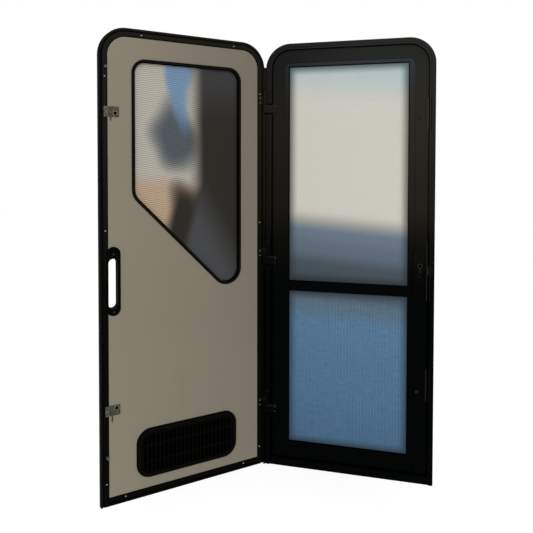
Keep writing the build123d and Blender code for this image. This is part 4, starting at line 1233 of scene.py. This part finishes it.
class DOOR_OT_cap_pins(bpy.types.Operator):
    """Roll the rims of catches, studs, snib and key, with painted highlights on those of studs, snib and key;
    lay dark discs of painted shade in the catches' holes and the snib's hollow; and round the ends of the
    hinge pins
    """

    bl_idname = "door.cap_pins"
    bl_label = "Cap Pins"

    def execute(self, context):
        finishes, settings = user_settings(context)
        steel = plated_steel("rim_steel", finishes.zinc, finishes.zinc_dark)
        # Painted highlights on the rims of studs, snib and key.
        worn = plated_steel("highlight_steel", finishes.worn, finishes.snib, 0.2)
        faint = plated_steel("key_steel", finishes.snib, finishes.strike, 0.2, 0.03)
        black = plated_steel("pin_steel", finishes.strike, finishes.coat_mid, 0.4)
        # Dark discs of painted shade for the catches' holes and the snib's hollow.
        dark = rubber("shade_disc_rubber", finishes.plastic_face, finishes.dust, 0.01)
        holes, studs = [], []
        for name in ENDS:
            low, high = side_box(name + "_stud", SHUT)
            along, level = (low.x + high.x) / 2, (low.z + high.z) / 2
            holes.append(spot(LEAF_OPEN, along, panel_high.y + settings.hinge_plate, level))
            studs.append(spot(SHUT, along, low.y, level, False))
        rims = copies(eyelet(settings.hole_radius, settings.hole_wire), holes)
        add_piece("catch_eyelets", rims, steel, "main")
        sunk = Matrix.Translation((0.0, 0.0, -settings.hinge_plate))
        sockets = copies(dome(settings.hole_radius, settings.pin_height), [hole @ sunk for hole in holes])
        add_piece("catch_hole_shades", sockets, dark, "main")
        rims = copies(eyelet(settings.stud_rim, settings.rim_wire), studs)
        add_piece("stud_rims", rims, worn, "screen")
        low, high = side_box("snib", SHUT)
        along, level = (low.x + high.x) / 2, high.z - (high.x - low.x) / 2
        rim = eyelet(settings.snib_rim, settings.rim_wire)
        add_piece("snib_rim", rim, worn, "snib", spot(SHUT, along, low.y, level, False))
        cup = dome(settings.snib_cup_shade, settings.rim_wire)
        place = spot(SHUT, along, low.y + settings.cup_depth, level, False)
        add_piece("snib_cup_shade", cup, dark, "snib", place)
        low, high = side_box("screen_lock_case", SHUT)
        rim = eyelet(settings.key_rim, settings.rim_wire)
        place = spot(SHUT, (low.x + high.x) / 2, low.y, level - settings.key_drop, False)
        add_piece("key_rim", rim, faint, "screen", place)
        places = [Matrix.Translation((PIN.x, PIN.y, top)) for top in hinges("frame").values()]
        caps = copies(dome(settings.pin_radius, settings.pin_height), places)
        add_piece("hinge_pin_caps", caps, black, "frame")
        return {"FINISHED"}


class DOOR_OT_set_stage(bpy.types.Operator):
    """Set the floor, the light and the camera"""

    bl_idname = "door.set_stage"
    bl_label = "Set Stage"

    def execute(self, context):
        settings = context.scene.door_stage
        context.scene.view_settings.view_transform = "Standard"
        self.lay_floor(settings)
        self.light_sky(context, settings)
        self.hang_lamp("key", settings.key_power, 2.4, (0.9, -3.4, 2.7))
        self.hang_lamp("fill", settings.fill_power, 2.0, (-2.6, -2.4, 1.6))
        self.stand_camera(context, settings)
        return {"FINISHED"}

    @staticmethod
    def seen_rays(finish):
        """1 for rays that show the background: straight, mirrored or through glass."""
        path = finish.node("ShaderNodeLightPath").socket.node
        names = "Is Camera Ray", "Is Glossy Ray", "Is Transmission Ray"
        straight, mirrored, through = (Channel(finish, path.outputs[name]) for name in names)
        settings = {"operation": "ADD", "use_clamp": True}
        return finish.node("ShaderNodeMath", settings, {0: straight + mirrored, 1: through})

    def lay_floor(self, settings):
        """A pale floor that keeps the shadow and looks white where it is lit."""
        mesh = rectangle(settings.floor_size, settings.floor_size)
        bmesh.ops.translate(mesh, vec=(0.0, 0.0, FOOT - settings.floor_drop), verts=mesh.verts)
        data = bpy.data.meshes.new("floor")
        mesh.to_mesh(data)
        mesh.free()
        floor = bpy.data.objects.new("floor", data)
        bpy.context.scene.collection.objects.link(floor)
        finish = new_finish("pale_floor")
        dull = finish.node("ShaderNodeBsdfDiffuse", None, {"Color": (0.82, 0.82, 0.82)})
        glow = finish.node("ShaderNodeEmission", None, {"Strength": self.seen_rays(finish) * 0.5})
        both = finish.node("ShaderNodeAddShader", None, {0: dull, 1: glow})
        finish.node("ShaderNodeOutputMaterial", None, {"Surface": both})
        data.materials.append(finish.owner)

    def light_sky(self, context, settings):
        """White where it is seen, plain soft light elsewhere."""
        world = bpy.data.worlds.new("studio")
        context.scene.world = world
        finish = Finish(world)
        strength = settings.ambient + self.seen_rays(finish) * (1.0 - settings.ambient)
        sky = finish.node("ShaderNodeBackground", None, {"Color": (1.0, 1.0, 1.0), "Strength": strength})
        finish.node("ShaderNodeOutputWorld", None, {"Surface": sky})

    @staticmethod
    def hang_lamp(name, power, size, place):
        """A soft square lamp that looks at the middle of the door."""
        light = bpy.data.lights.new(name, "AREA")
        light.energy = power
        light.size = size
        lamp = bpy.data.objects.new(name, light)
        lamp.location = place
        middle = (cad_low + cad_high) / 2
        lamp.rotation_euler = (middle - Vector(place)).to_track_quat("-Z", "Y").to_euler()
        bpy.context.scene.collection.objects.link(lamp)

    @staticmethod
    def stand_camera(context, settings):
        """The camera, at the angle of the photograph."""
        data = bpy.data.cameras.new("camera")
        data.sensor_width = SENSOR_MM
        data.lens = settings.lens
        data.shift_x, data.shift_y = settings.shift
        camera = bpy.data.objects.new("camera", data)
        camera.location = settings.eye
        camera.rotation_euler = settings.gaze
        context.scene.collection.objects.link(camera)
        context.scene.camera = camera


class DOOR_PT_sidebar(bpy.types.Panel):
    """Lists the door's operators and their settings"""

    bl_idname = "DOOR_PT_sidebar"
    bl_label = "Caravan Entry Door"
    bl_space_type = "VIEW_3D"
    bl_region_type = "UI"
    bl_category = "Door"

    def draw(self, context):
        for operator in OPERATORS:
            self.layout.operator(operator.bl_idname)
        for group in SETTINGS:
            settings = getattr(context.scene, group)
            box = self.layout.box()
            for name in settings.bl_rna.properties.keys():
                if name not in ("rna_type", "name"):
                    box.prop(settings, name)


SETTINGS = {"door_finishes": DoorFinishes, "door_fasteners": DoorFasteners, "door_stage": DoorStage}
OPERATORS = (
    DOOR_OT_coat_extrusions,
    DOOR_OT_mould_trims,
    DOOR_OT_skin_leaf,
    DOOR_OT_glaze_window,
    DOOR_OT_weave_screens,
    DOOR_OT_plate_fittings,
    DOOR_OT_fit_rubbers,
    DOOR_OT_press_cords,
    DOOR_OT_seal_frame,
    DOOR_OT_seal_hinges,
    DOOR_OT_line_sheet,
    DOOR_OT_face_latches,
    DOOR_OT_fit_gauze,
    DOOR_OT_drive_screws,
    DOOR_OT_cap_pins,
    DOOR_OT_set_stage,
)
CLASSES = (*SETTINGS.values(), *OPERATORS, DOOR_PT_sidebar)


def register():
    """Register the classes and hang their settings on the scene."""
    for cls in CLASSES:
        bpy.utils.register_class(cls)
    for name, cls in SETTINGS.items():
        setattr(bpy.types.Scene, name, bpy.props.PointerProperty(type=cls))


def unregister():
    """Take the settings and classes away again."""
    for name in SETTINGS:
        delattr(bpy.types.Scene, name)
    for cls in reversed(CLASSES):
        bpy.utils.unregister_class(cls)


def main():
    """Build every piece in order."""
    register()
    for operator in OPERATORS:
        getattr(bpy.ops.door, operator.bl_idname.partition(".")[2])()


if __name__ == "__main__":
    main()
